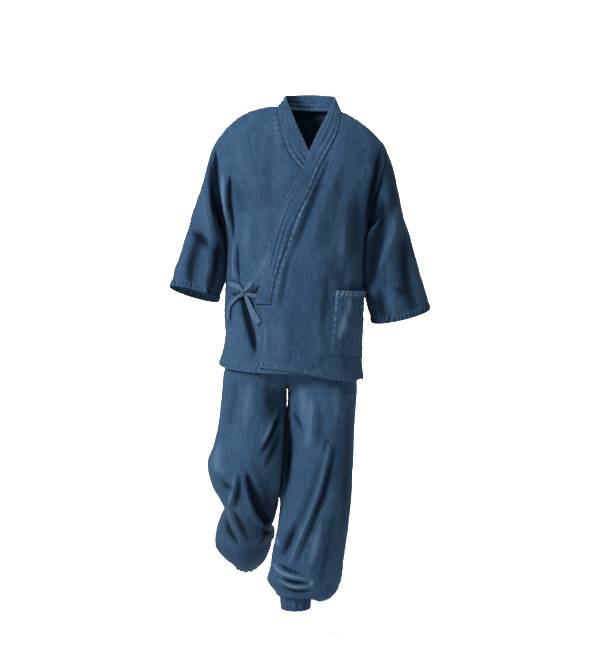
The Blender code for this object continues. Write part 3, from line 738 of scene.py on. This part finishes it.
def lapped(points, *names, by=.0022):
    """A grid whose sewn edges run on a little, under the panel they are sewn to."""
    points = points.copy()
    for name in names:
        edge, inner = {
            "low": ((slice(None), 0), (slice(None), 2)),
            "high": ((slice(None), -1), (slice(None), -3)),
            "top": ((0,), (2,)),
        }[name]
        points[edge] += unit(points[edge] - points[inner]) * by
    return points


def grid_index(rows, columns, closed):
    """The numbers of a grid's points, with the first column again at the end if it is closed."""
    index = np.arange(rows * columns).reshape(rows, columns)
    return np.concatenate([index, index[:, :1]], axis=1) if closed else index


def quads(index):
    """The four-sided faces between the points of a grid."""
    corners = index[:-1, :-1], index[:-1, 1:], index[1:, 1:], index[1:, :-1]
    return np.stack([corner.ravel() for corner in corners], 1)


def shell(name, panel, fabric):
    """The closed cloth shell of a panel, as the piece for a node."""
    middle = panel.surface()
    rows, columns = middle.shape[:2]
    out = panel.out * (fabric.wall / 2)
    points = np.concatenate([(middle + out).reshape(-1, 3), (middle - out).reshape(-1, 3)])
    index, inner = grid_index(rows, columns, panel.closed), rows * columns
    outside = quads(index)
    faces = [outside, outside[:, [0, 3, 2, 1]] + inner]
    rims = [index[0], index[-1]] + ([] if panel.closed else [index[:, 0], index[:, -1]])
    for rim in rims:
        faces.append(np.stack([rim[:-1], rim[1:], rim[1:] + inner, rim[:-1] + inner], 1))
    values = {"hem": panel.hem, "seam": panel.seam, "hem_run": panel.hem_run,
              "across": panel.across, "along": panel.along, "tone": panel.tone}
    values = {key: np.tile(value.ravel(), 2) for key, value in values.items()}
    return cloth_piece(name, points, np.concatenate(faces).tolist(), values, fabric)


def cloth_piece(name, points, faces, values, fabric):
    """A closed mesh that stands for a node. Points that lie on each other are joined."""
    mesh = bpy.data.meshes.new(f"samue_{name}")
    mesh.from_pydata(points.tolist(), [], faces)
    for key, value in values.items():
        layer = mesh.attributes.new(key, "FLOAT", "POINT")
        layer.data.foreach_set("value", value.astype(np.float32))
    build = bmesh.new()
    build.from_mesh(mesh)
    bmesh.ops.remove_doubles(build, verts=build.verts, dist=1e-6)
    bmesh.ops.recalc_face_normals(build, faces=build.faces)
    if build.calc_volume(signed=True) < 0:
        bmesh.ops.reverse_faces(build, faces=build.faces)
    build.to_mesh(mesh)
    build.free()
    mesh.shade_smooth()
    piece = bpy.data.objects.new(f"samue_{name}", mesh)
    bpy.context.scene.collection.objects.link(piece)
    mesh.materials.append(fabric.material)
    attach(piece, "root")
    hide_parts(name)
    return piece


def jacket_moves(points, out):
    """How far the fronts' folds and wide ripples move the cloth under a place."""
    wide = ripple(points, JACKET_SEED, *WIDE_RIPPLE)
    return crease(points, out, JACKET_FOLDS)[0] + RIPPLE_DEPTH * wide


def body_panel(c, down, facing, lift=None):
    """A panel of the jacket's body. c and down are grids, and only the fronts have a lift."""
    flat_c, flat_down = c.ravel(), down.ravel()
    out = normals(lambda a, b: body(a, b, facing), flat_c, flat_down)
    if lift is None:
        points = body(flat_c, flat_down, facing)
    else:
        points = lifted(flat_c, flat_down, lift)
    out = turned(out, points * (1, 1, 0))
    return Panel(points.reshape(*c.shape, 3), out.reshape(*c.shape, 3))


def jacket_back(cloth):
    downs = graded(TRIM, BACK_HEM, 1.5 * STEP, (.002, FINE))
    across = graded(-1, 1, 1.5 * STEP, (FINE, FINE), size=.22)
    panel = body_panel(*np.meshgrid(across, downs), +1)
    panel.sewn("low", "high", "top")
    panel.hemmed("bottom")
    panel.folded(BACK_FOLDS, +1)
    panel.rippled(3)
    piece = shell("jacket_back", panel, cloth)


def jacket_front(word, side, seam, free, cloth, lift):
    above = graded(TRIM, COLLAR_END, STEP, (.002, 0))
    below = graded(COLLAR_END + 2 * TRIM, HEM, STEP, (0, FINE))
    downs = np.concatenate([above, below])[:, None]
    at_seam, at_free = (front_line(line, downs[:, 0])[:, None] for line in (seam, free))
    inner = np.where(downs < COLLAR_END + TRIM, at_seam, at_free)
    flap = graded(0, 1, STEP, (FINE, 0), size=.045)[:-1]       # shut up to the collar's end
    share = graded(0, 1, STEP, (FINE, FINE), size=.28)
    c = np.concatenate([mix(inner, at_seam, flap), mix(at_seam, side, share)], axis=1)
    is_outer = lift > 0
    if is_outer:
        from_edge = (c - at_free) / (side - at_free)
        downs = downs - OUTER_RISE * (1 - from_edge) ** 2 * ease(RISE_START, HEM, downs)
    panel = body_panel(c, np.broadcast_to(downs, c.shape), -1, lift)
    if is_outer:
        sag = smooth(SAG["x"], SAG["down"], panel.points[..., 0])
        panel.points[..., 2] -= sag * ease(SAG_START, HEM, downs)
    low = panel.edges["low"]
    panel.edges["free"] = np.where(downs > COLLAR_END, low, 1.0)
    panel.edges["low"] = np.where(downs > COLLAR_END, 1.0, low)
    panel.sewn("low", "high", "top")
    panel.hemmed("bottom")
    free_edge(panel)
    panel.folded(JACKET_FOLDS)
    panel.rippled(JACKET_SEED)
    piece = shell(f"jacket_front_{word}", panel, cloth)


def free_edge(panel):
    """The front's narrow hem below the collar, without puckers."""
    far = panel.edges["free"]
    panel.moved += .0008 * (1 - ease(.009, .012, far)) - .0006 * bell(.0085, .002, far)
    as_hem = far * HEM_FOLD / FREE_HEM
    closer = as_hem < panel.hem
    panel.hem_run = np.where(closer, panel.along, panel.hem_run)
    panel.hem = np.where(closer, as_hem, panel.hem)


def collar_grid():
    """The collar band, from its hidden end up the under front, round the neck and down."""
    last, first = COLLAR_END - .002, .025       # where it lies on a front, down the cloth
    downs = spread(last, first, 46)
    width = graded(0, 1, .085, (.03, .03))

    def on_front(seam, free, lift, down):
        down = np.full(len(width), down)
        return lifted(mix(front_line(seam, down), front_line(free, down), width), down, lift)

    stations = [on_front(UNDER_SEAM, UNDER_FREE, 0, down) for down in downs]
    for c in spread(NECK["c"][0], NECK["c"][-1], 24):
        top = np.array(list(look_up(NECK, "c", c).values()))
        seam = body(np.array([c]), np.zeros(1), +1)[0] + (0, 0, CLOTH / 2 - NECK_LAP)
        stations.append(mix(seam, top, width[:, None]))
    stations += [on_front(OUTER_SEAM, OUTER_FREE, LAYER, down) for down in downs[::-1]]
    stations = np.stack(stations)
    length = np.linalg.norm(np.diff(stations[:, len(width) // 2], axis=0), axis=-1)
    along = np.concatenate([[0], np.cumsum(length)]) / length.sum()
    points = woven(along, width, stations, graded(0, 1, .0028, (.0009, .0009)), width)
    for _ in range(14):     # each round softens the turns from the fronts to the neck
        points[1:-1] = (points[:-2] + 2 * points[1:-1] + points[2:]) / 4
    return points


def collar(band):
    points = collar_grid()
    panel = Panel(points, turned(grid_normals(points), points * (1, 1, 0)))
    u, along = panel.across / panel.across[:, -1:], panel.along
    panel.moved += .0014 * np.sin(u * math.pi) ** .6
    drift = .05 * np.sin(along * 11) + .03 * np.sin(along * 29 + 1)
    swell = (.55 + .45 * np.sin(along * 19 + 2 * u)) * ease(.02, .06, np.abs(along - COLLAR_TURN))
    outer = ease(.62, .80, along)
    for at, half, depth, on_outer in zip(*COLLAR_LINES.values()):
        line = bell(at, half, u - drift) * swell * mix(1, on_outer, outer)
        panel.moved += depth * line
        # painted shade along the grooves, and paler ridges, partly wear and partly painted highlight
        panel.tone += depth / .0020 * line
    panel.sewn("low", depth=.0020, width=.003)
    panel.hemmed("high", width=.0075, rise=.0003)
    panel.folded(JACKET_FOLDS)
    panel.rippled(JACKET_SEED, .0012, .0005)
    piece = shell("collar", panel, band)


def sleeve(word, side, rings, cloth, painted_shade):
    columns = np.arange(-3, 20) / 16        # once round, and a little past it at each end
    angle = columns * 2 * math.pi
    front = np.sin(angle) > -1e-9
    down = ARMPIT * np.arccos(np.cos(angle)) / math.pi
    edge = np.full(len(angle), float(side))
    stations = [np.where(front[:, None], body(edge, down, -1), body(edge, down, +1))]
    up, deep = (1 + np.cos(angle)) / 2, np.sin(angle)
    deep = np.sign(deep) * np.abs(deep) ** BOW
    for along, x_out, z_out, x_in, z_in, fore, back, tilt in zip(*rings.values()):
        y = -np.where(deep > 0, fore, back) * deep
        stations.append(stack(mix(x_in, x_out, up), y, mix(z_in, z_out, up) + tilt * deep))
    along = np.concatenate([[0.0], rings["along"]])
    vs = graded(0, 1, STEP, (FINE, FINE), size=.46)
    us = spread(0, 1, 144)[:-1]
    points = woven(along, columns, np.stack(stations), vs, us)
    points = lapped(against_body(points, side, us), "top", by=.0045)
    panel = Panel(points, grid_normals(points, closed=True), closed=True)
    panel.sewn("top", depth=.0022)
    panel.hemmed("bottom")
    panel.folded(SLEEVE_FOLDS)
    panel.folded(SLEEVE_FOLDS, +1)
    panel.rippled(23 + side)
    panel.tone -= painted_shade     # painted shade: the sleeves are made a little darker than the body
    piece = shell(f"sleeve_{word}", panel, cloth)


def against_body(points, side, us):
    """The underside of a sleeve, drawn in to lie against the jacket's side under the arm."""
    word = "left" if side > 0 else "right"
    edge = smooth(BODY[f"z_{word}"][::-1], BODY[f"x_{word}"][::-1], points[..., 2])
    reach = np.maximum(side * (points[..., 0] - edge) - .0022, 0)
    under = bell(.5, .13, us)[None]
    moved = points.copy()
    moved[..., 0] -= side * reach * under * window(*UNDER_ARM, points[..., 2])
    return moved


def trousers(u, v, side, facing):
    """One quarter of the trousers. u is 0 at the rise or inseam and 1 at the side seam."""
    across = u < 0
    facing = np.where((u > 1) | (across & (v >= CROTCH)), -facing, facing)
    side = np.where(across & (v < CROTCH), -side, side)
    u = np.where(u > 1, 2 - u, np.abs(u))
    left, right = look_up(LEG_LEFT, "along", v), look_up(LEG_RIGHT, "along", v)
    ring = {key: np.where(side > 0, left[key], right[key]) for key in left}
    angle = (2 * u - 1) * math.pi / 2
    tilt = np.radians(ring["tilt"])
    gather = 1 + LEG_GATHER * ease(.93, 1, v) * np.cos(angle * CUFF_GATHERS)
    deep = facing * ring["half_y"] * np.cos(angle) * gather
    low = stack(
        ring["x"] + side * ring["half_x"] * np.sin(angle) * gather,
        ring["y"] + deep * np.cos(tilt),
        ring["z"] + deep * np.sin(tilt),
    )
    z = ring["z"]
    hip = look_up(PELVIS, "z", z)
    turn = u * math.pi / 2
    depth = np.where(facing < 0, hip["front"], hip["back"])
    mid = mix(CROTCH_X, hip["x_mid"], ease(RISE_TOP, PELVIS["z"][0], z))
    reach = hip["x_mid"] + side * hip["half_x"] - mid
    high = stack(mid + reach * np.sin(turn), facing * depth * np.cos(turn), z)
    parted = np.clip((RISE_TOP - z) / (RISE_TOP - CROTCH_Z), 0, 1)
    parted = np.where(v < CROTCH, 1 - np.sqrt(1 - parted**2), 1)
    apart = stack(side * CLOTH / 2 * parted, 0, 0)
    return mix(high, low, parted[:, None]) + apart


def against_leg(points, side):
    """A leg with its inside drawn over to lie against the other leg, and its lower end shaped."""
    points = points.copy()
    x, z = points[..., 0], points[..., 2]
    reach = side * (x - smooth(BETWEEN["z"], BETWEEN["x"], z)) - .0006
    pull = bell(0, .014, reach) * window(*LEGS_TOUCH, z)
    if side < 0:
        tail = bell(FOLD_TAIL, .021, z, 4) * bell(0, .034, reach)
        x -= side * reach * np.maximum(pull, tail)
        x += .015 * (1 - ease(-1.335, -1.270, z)) * (1 - ease(-.225, -.175, x))
    else:
        x -= side * reach * pull
        x -= .009 * (1 - ease(-.10, -.045, x)) * bell(-1.350, .030, z)
        z += CUFF_LIFT * (1 - ease(-1.375, -1.305, z)) * (1 - ease(-.010, .045, x))
    return points


def trouser_panel(word, side, facing, cloth):
    coarse = 1.0 if facing < 0 else 1.9     # the backs have fewer folds
    leg, ankle = graded(0, .90, .0036 * coarse), graded(.9025, 1, .0025 * coarse)
    vs = np.concatenate([leg, ankle])
    us = graded(0, 1, .0120 * coarse, (.005, .005))
    u, v = np.meshgrid(us, vs)
    points = trousers(u.ravel(), v.ravel(), side, facing).reshape(*u.shape, 3)
    out = normals(lambda a, b: trousers(a, b, side, facing), u.ravel(), v.ravel())
    out = turned(out.reshape(points.shape), from_middle(points))
    panel = Panel(lapped(against_leg(points, side), "low", "high"), out)
    panel.sewn("low", "high", depth=.0012)
    panel.folded(TROUSER_FOLDS if facing < 0 else TROUSER_BACK_FOLDS, facing)
    panel.rippled(31, .0026)
    if side < 0:            # the trailing shin is turned away from the light
        panel.tone -= .40 * (1 - ease(-1.20, -1.06, panel.points[..., 2]))
    piece = shell(f"trousers_{word}_{'front' if facing < 0 else 'back'}", panel, cloth)


def around(columns, rows):
    """Grids of the angle round a closed piece and of the share down it."""
    u, v = np.meshgrid(spread(0, 1, columns)[:-1], spread(0, 1, rows))
    return u * 2 * math.pi, v


def elastic(name, points, band):
    """The piece for a closed gathered band, with a seam along its top."""
    panel = Panel(points, grid_normals(points, closed=True), closed=True)
    panel.sewn("top", depth=.0006, width=.002)
    return shell(name, panel, band)


def cuff(word, leg, band, gap, lift=0.0):
    ring = {key: leg[key][-1] for key in leg}
    tilt = math.radians(ring["tilt"])
    angle, v = around(256, 22)
    uneven = .8 * np.sin(3 * angle + 1) + .5 * np.sin(7 * angle)
    swell = .045 + .012 * np.sin(5 * angle)
    gather = .97 + swell * np.cos(angle * CUFF_GATHERS + uneven) - .08 * v
    gather += .012 * np.sin(v * math.pi * 3) ** 2 - .03 * np.abs(2 * v - 1) ** 6
    deep = ring["half_y"] * np.cos(angle) * gather
    drop = gap - lift + (CUFF_HEIGHT + lift) * v
    points = stack(
        ring["x"] + ring["half_x"] * np.sin(angle) * gather,
        ring["y"] + deep * math.cos(tilt) + drop * math.sin(tilt),
        ring["z"] + deep * math.sin(tilt) - drop * math.cos(tilt),
    )
    piece = elastic(f"cuff_{word}", points, band)


def waistband(band):
    hip = {key: PELVIS[key][0] for key in PELVIS}
    angle, v = around(384, 16)
    gather = 1 + (.012 + .004 * np.sin(5 * angle)) * np.cos(angle * WAIST_GATHERS) - .03 * v
    depth = np.where(np.cos(angle) > 0, hip["front"], hip["back"])
    points = stack(
        hip["x_mid"] + hip["half_x"] * np.sin(angle) * gather,
        -depth * np.cos(angle) * gather,
        hip["z"] + 2 * TRIM + WAISTBAND * v,
    )
    piece = elastic("waistband", points, band)


def pocket(cloth):
    downs = graded(POCKET_TOP, POCKET_TOP + POCKET_HEIGHT, .003, (FINE, FINE))
    us = graded(0, 1, .03, (.012, .012))
    c = mix(front_line(POCKET_EDGE, downs)[:, None], POCKET_SIDE, us[None])
    v = np.broadcast_to(downs[:, None], c.shape)
    share = np.clip((v - POCKET_TOP) / POCKET_HEIGHT, 0, 1)
    more = .0028 + POCKET_GAPE * 4 * us * (1 - us) * (1 - share) ** 1.5
    points = lifted(c.ravel(), v.ravel(), LAYER, more.ravel()).reshape(*c.shape, 3)
    panel = Panel(points, turned(grid_normals(points), (0, -1, 0)))
    panel.sewn("low", "high", "bottom", depth=.0022, width=.0025)
    panel.hemmed("top")
    panel.folded(JACKET_FOLDS)
    panel.rippled(JACKET_SEED, .0016)
    low, top = panel.edges["low"], panel.edges["top"]
    # painted highlight along the inner stitched edge near the top; the top band paled as wear; the
    # whole pocket paled a little as painted light in its open mouth
    panel.tone += .60 * bell(.005, .0035, low) * (1 - ease(.05, .15, top))
    panel.tone += .45 * (1 - ease(.013, .019, top)) + .12
    piece = shell("pocket", panel, cloth)


def on_jacket(x, z, off):
    """A point off the front, over the place with this x and z, and the normal there."""
    upright = table("z x", (-2, x), (1, x))
    down = np.array([-z])
    for _ in range(20):     # each round brings the point nearer to the height asked for
        c = front_line(upright, down)
        p = body(c, down, -1)[0]
        down = down + (p[2] - z)
    out = front_normals(c, down)[0]
    return p + out * off, out


def strip(name, path, band):
    """A flat tie, from its middle line, with a stitched edge on each side."""
    places = [on_jacket(*place) for place in zip(path["x"], path["z"], path["off"])]
    middle, out = (np.array(column) for column in zip(*places))
    half = unit(np.cross(np.gradient(middle, axis=0), out)) * path["width"][:, None] / 2
    points = np.stack([middle - half, middle, middle + half], axis=1)
    along = spread(0, 1, len(middle) - 1)
    us, vs = spread(0, 1, 14), spread(0, 1, 24 * (len(middle) - 1))     # 24 rows from place to place
    grid = woven(along, spread(0, 1, 2), points, vs, us)
    panel = Panel(grid, turned(grid_normals(grid), out[0]))
    ridges = np.cos(us * 2 * math.pi * 2)
    panel.moved += .0005 * ridges + .0006 * ripple(grid, 5, .02)
    panel.hemmed("low", "high", width=.0035, rise=.0001, gather=.15)
    panel.moved += jacket_moves(grid, panel.out)
    # painted highlight: the ties are paled so that they stand out light against the dark gaps
    panel.tone += .55
    piece = shell(name, panel, band._replace(wall=CLOTH))


def knot(band):
    """The pulled knot: a small bundle with the wrap of the strip round it."""
    middle, out = on_jacket(*KNOT)
    theta, share = around(64, 36)
    phi = mix(.02, .98, share) * math.pi
    ball = stack(np.cos(theta) * np.sin(phi), np.sin(theta) * np.sin(phi), np.cos(phi))
    across_wrap = np.array([7.0, 1.5, 5.0])
    wrap = .5 + .5 * np.cos(ball @ across_wrap + .8)
    points = middle + ball * np.array(KNOT_SIZE) * (.86 + .16 * wrap ** .6)[..., None]
    points += out * jacket_moves(middle[None, None], out[None, None])[0, 0]
    index = grid_index(*theta.shape, closed=True)
    faces = quads(index).tolist() + [index[0, :-1].tolist(), index[-1, :-1].tolist()]
    ones = np.ones(theta.size)
    # tone: painted shade in the wrap's grooves and painted highlight on its crests
    values = {"hem": ones, "seam": ones, "tone": (wrap.ravel() - .5) * 1.2,
              "across": theta.ravel() * .008, "along": phi.ravel() * .008}
    return cloth_piece("tie_knot", points.reshape(-1, 3), faces, values, band)


class Nodes:
    """Shorthand for building a material's node tree."""

    def __init__(self, name):
        self.material = bpy.data.materials.new(name)
        self.material.use_nodes = True
        self.tree = self.material.node_tree
        self.tree.nodes.clear()

    def feed(self, socket, value):
        if isinstance(value, bpy.types.NodeSocket):
            self.tree.links.new(value, socket)
        else:
            socket.default_value = value

    def add(self, kind, settings=(), **inputs):
        """A new node. An input is named with _ for each space, or i and its number."""
        node = self.tree.nodes.new(kind)
        for key, value in dict(settings).items():
            setattr(node, key, value)
        for key, value in inputs.items():
            numbered = key[0] == "i" and key[1:].isdigit()
            self.feed(node.inputs[int(key[1:]) if numbered else key.replace("_", " ")], value)
        return node

    def attribute(self, name):
        return self.add("ShaderNodeAttribute", {"attribute_name": name}).outputs["Fac"]

    def noise(self, vector, scale, detail, **inputs):
        inputs = {"Vector": vector, "Scale": scale, "Detail": detail, **inputs}
        return self.add("ShaderNodeTexNoise", **inputs).outputs["Fac"]

    def math(self, operation, *values):
        inputs = {f"i{i}": value for i, value in enumerate(values)}
        return self.add("ShaderNodeMath", {"operation": operation}, **inputs).outputs[0]

    def times(self, a, b):
        return self.math("MULTIPLY", a, b)

    def most(self, a, b):
        return self.math("MAXIMUM", a, b)

    def between(self, value, low, high, start=0.0, end=1.0):
        inputs = {"Value": value, "From_Min": low, "From_Max": high, "To_Min": start, "To_Max": end}
        return self.add("ShaderNodeMapRange", {"interpolation_type": "SMOOTHSTEP"}, **inputs).outputs[0]

    def line(self, far, at, half):
        """1 on a line at a distance from an edge, and 0 away from it."""
        off = self.math("ABSOLUTE", self.math("SUBTRACT", far, at))
        return self.between(off, half * .4, half, 1.0, 0.0)

    def mixed(self, share, a, b):
        """A colour between two, each a socket or three numbers."""
        node = self.add("ShaderNodeMix", {"data_type": "RGBA"})
        for number, value in ((0, share), (6, a), (7, b)):
            self.feed(node.inputs[number], (*value, 1) if isinstance(value, tuple) else value)
        return node.outputs[2]


def denim(name, deep, dark, light, pale):
    """Washed indigo cotton: streaky vertical threads, a mottled wash, creases darkened with painted
    shade, and ridges paled partly as wear and partly as painted highlight."""
    n = Nodes(name)
    place = n.add("ShaderNodeTexCoord").outputs["Object"]
    threads = n.add("ShaderNodeCombineXYZ", X=n.attribute("across"), Y=n.attribute("along")).outputs[0]

    def streaks(across, along, detail):
        scaled = n.add("ShaderNodeMapping", Vector=threads)
        scaled.inputs["Scale"].default_value = (across, along, 1)
        return n.noise(scaled.outputs[0], 1.0, detail, Roughness=.6)

    slub, coarse, cross = streaks(560, 30, 3.0), streaks(170, 22, 2.0), streaks(40, 900, 2.0)
    wash = n.noise(place, 11.0, 4.0, Roughness=.55)
    speck = n.noise(place, 230.0, 2.0)
    tone = 0.0
    for noise, share in ((slub, .27), (coarse, .20), (wash, .20), (speck, .23), (cross, .10)):
        tone = n.math("ADD", tone, n.times(n.between(noise, .35, .65), share))
    # the tone attribute carries painted shade and highlight from the folds, puckers, sleeves, ties,
    # knot and pocket
    hem, seam, fold = n.attribute("hem"), n.attribute("seam"), n.attribute("tone")
    # worn hem edges and the hem's fold line are paler as wear; tone above 0 pales further, partly as
    # wear and partly as painted highlight
    wear_and_painted_highlight = n.times(n.line(hem, HEM_FOLD, .0030), .30)
    wear_and_painted_highlight = n.most(n.between(hem, .0, .0030, .7, .0), wear_and_painted_highlight)
    wear_and_painted_highlight = n.times(wear_and_painted_highlight, n.between(wash, .35, .6, .15, .55))
    wear_and_painted_highlight = n.most(wear_and_painted_highlight, n.between(fold, .05, 1.0, .0, .70))
    colour = n.mixed(wear_and_painted_highlight, n.mixed(tone, dark, light), pale)
    stitched = n.most(n.line(hem, HEM_STITCH, .0014), n.between(seam, .0, .0018, 1.0, .0))
    # painted shade: creases are darkened towards the deep colour, and stitched lines darkened a little
    # as dark stitching
    hollow = n.most(n.between(fold, -1.25, -.03, .96, .0), n.times(stitched, .40))
    colour = n.mixed(hollow, colour, deep)
    run = n.add("ShaderNodeCombineXYZ", X=n.attribute("hem_run")).outputs[0]
    dash = n.add("ShaderNodeTexWave", {"bands_direction": "X"}, Scale=105.0, Vector=run).outputs["Fac"]
    thread = n.times(n.line(hem, HEM_STITCH, .0006), n.between(dash, .35, .6))
    colour = n.mixed(n.times(thread, .18), colour, pale)
    height = n.math("ADD", n.times(slub, .5), n.times(cross, .35))
    height = n.math("ADD", height, n.times(speck, .4))
    bump = n.add("ShaderNodeBump", Strength=.4, Distance=.0014, Height=height).outputs[0]
    rough = n.between(tone, .0, 1.0, .82, .94)
    shader = n.add("ShaderNodeBsdfPrincipled", Base_Color=colour, Normal=bump, Roughness=rough)
    shader.inputs["Sheen Weight"].default_value = .015
    shader.inputs["Sheen Roughness"].default_value = .5
    shader.inputs["Specular IOR Level"].default_value = .03
    n.add("ShaderNodeOutputMaterial", Surface=shader.outputs[0])
    return n.material


def plain(name, colour):
    n = Nodes(name)
    shader = n.add("ShaderNodeBsdfPrincipled", Base_Color=(*colour, 1), Roughness=.9)
    n.add("ShaderNodeOutputMaterial", Surface=shader.outputs[0])
    return n.material


def add_object(name, data, place=(0, 0, 0), aim=None):
    """A new object in the scene, looking along its own -Z at the place it aims at."""
    made = bpy.data.objects.new(name, data)
    made.location = place
    if aim:
        made.rotation_euler = (Vector(aim) - Vector(place)).to_track_quat("-Z", "Y").to_euler()
    bpy.context.scene.collection.objects.link(made)
    return made


def area_light(name, place, size, power, aim=(-.02, 0, -.65)):
    data = bpy.data.lights.new(name, "AREA")
    data.shape, data.size, data.energy = "DISK", size, power
    add_object(name, data, place, aim)


def studio():
    """A pale floor that curves up into a backdrop. A large light stands to the upper left, a soft
    one overhead and a weak one at the right, and another lights the backdrop."""
    front, back, rise, wide, top = -12.0, 6.2, 1.8, 14.0, 7.0
    profile = [(front, FLOOR), (back, FLOOR)]
    turn = np.radians(spread(0, 90, 24)[1:])
    profile += [(back + rise * math.sin(t), FLOOR + rise * (1 - math.cos(t))) for t in turn]
    profile.append((back + rise, FLOOR + top))
    points = [(x, y, z) for y, z in profile for x in (-wide, wide)]
    faces = [(2 * i, 2 * i + 1, 2 * i + 3, 2 * i + 2) for i in range(len(profile) - 1)]
    mesh = bpy.data.meshes.new("floor")
    mesh.from_pydata(points, [], faces)
    mesh.shade_smooth()
    mesh.materials.append(plain("backdrop", (.86, .86, .86)))
    floor = add_object("floor", mesh)
    world = bpy.data.worlds.new("studio")
    bpy.context.scene.world = world
    world.use_nodes = True
    world.node_tree.nodes["Background"].inputs[0].default_value = (1, 1, 1, 1)
    world.node_tree.nodes["Background"].inputs[1].default_value = .38
    area_light("key", (-3.3, -2.9, 1.6), 1.3, 390)
    area_light("top", (.2, -.5, 2.6), 2.0, 60, aim=(0, 0, -.3))
    area_light("fill", (2.8, -3.4, .2), 2.4, 3)
    area_light("backdrop", (0, 3.4, 3.4), 3.0, 1100, aim=(0, 7.4, -.6))
    bpy.context.scene.view_settings.view_transform = "Standard"


def camera():
    data = bpy.data.cameras.new("camera")
    data.lens, data.sensor_width = LENS, 36.0
    bpy.context.scene.camera = add_object("camera", data, EYE, AIM)


def main():
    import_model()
    camera()
    studio()
    cloth = Fabric(denim("denim", **INDIGO), "denim", CLOTH)
    band = Fabric(denim("band", **INDIGO), "band", BAND)
    jacket_back(cloth)
    jacket_front("left", 1, OUTER_SEAM, OUTER_FREE, cloth, lift=LAYER)
    jacket_front("right", -1, UNDER_SEAM, UNDER_FREE, cloth, lift=0.0)
    collar(band)
    sleeve("left", 1, SLEEVE_LEFT, cloth, painted_shade=.50)
    sleeve("right", -1, SLEEVE_RIGHT, cloth, painted_shade=.38)
    pocket(cloth)
    bow = knot(band)
    strip("tie_side", TIE_SIDE, band)
    strip("tie_front", TIE_FRONT, band)
    strip("tie_loop", TIE_LOOP, band)
    strip("tie_tail", TIE_TAIL, band)
    strip("tie_tail_low", TIE_TAIL_LOW, band)
    for side, word in ((1, "left"), (-1, "right")):
        trouser_panel(word, side, -1, cloth)
        trouser_panel(word, side, +1, cloth)
    waistband(band)
    cuff("left", LEG_LEFT, band, gap=.0024, lift=CUFF_LIFT)
    cuff("right", LEG_RIGHT, band, gap=.0016)


main()
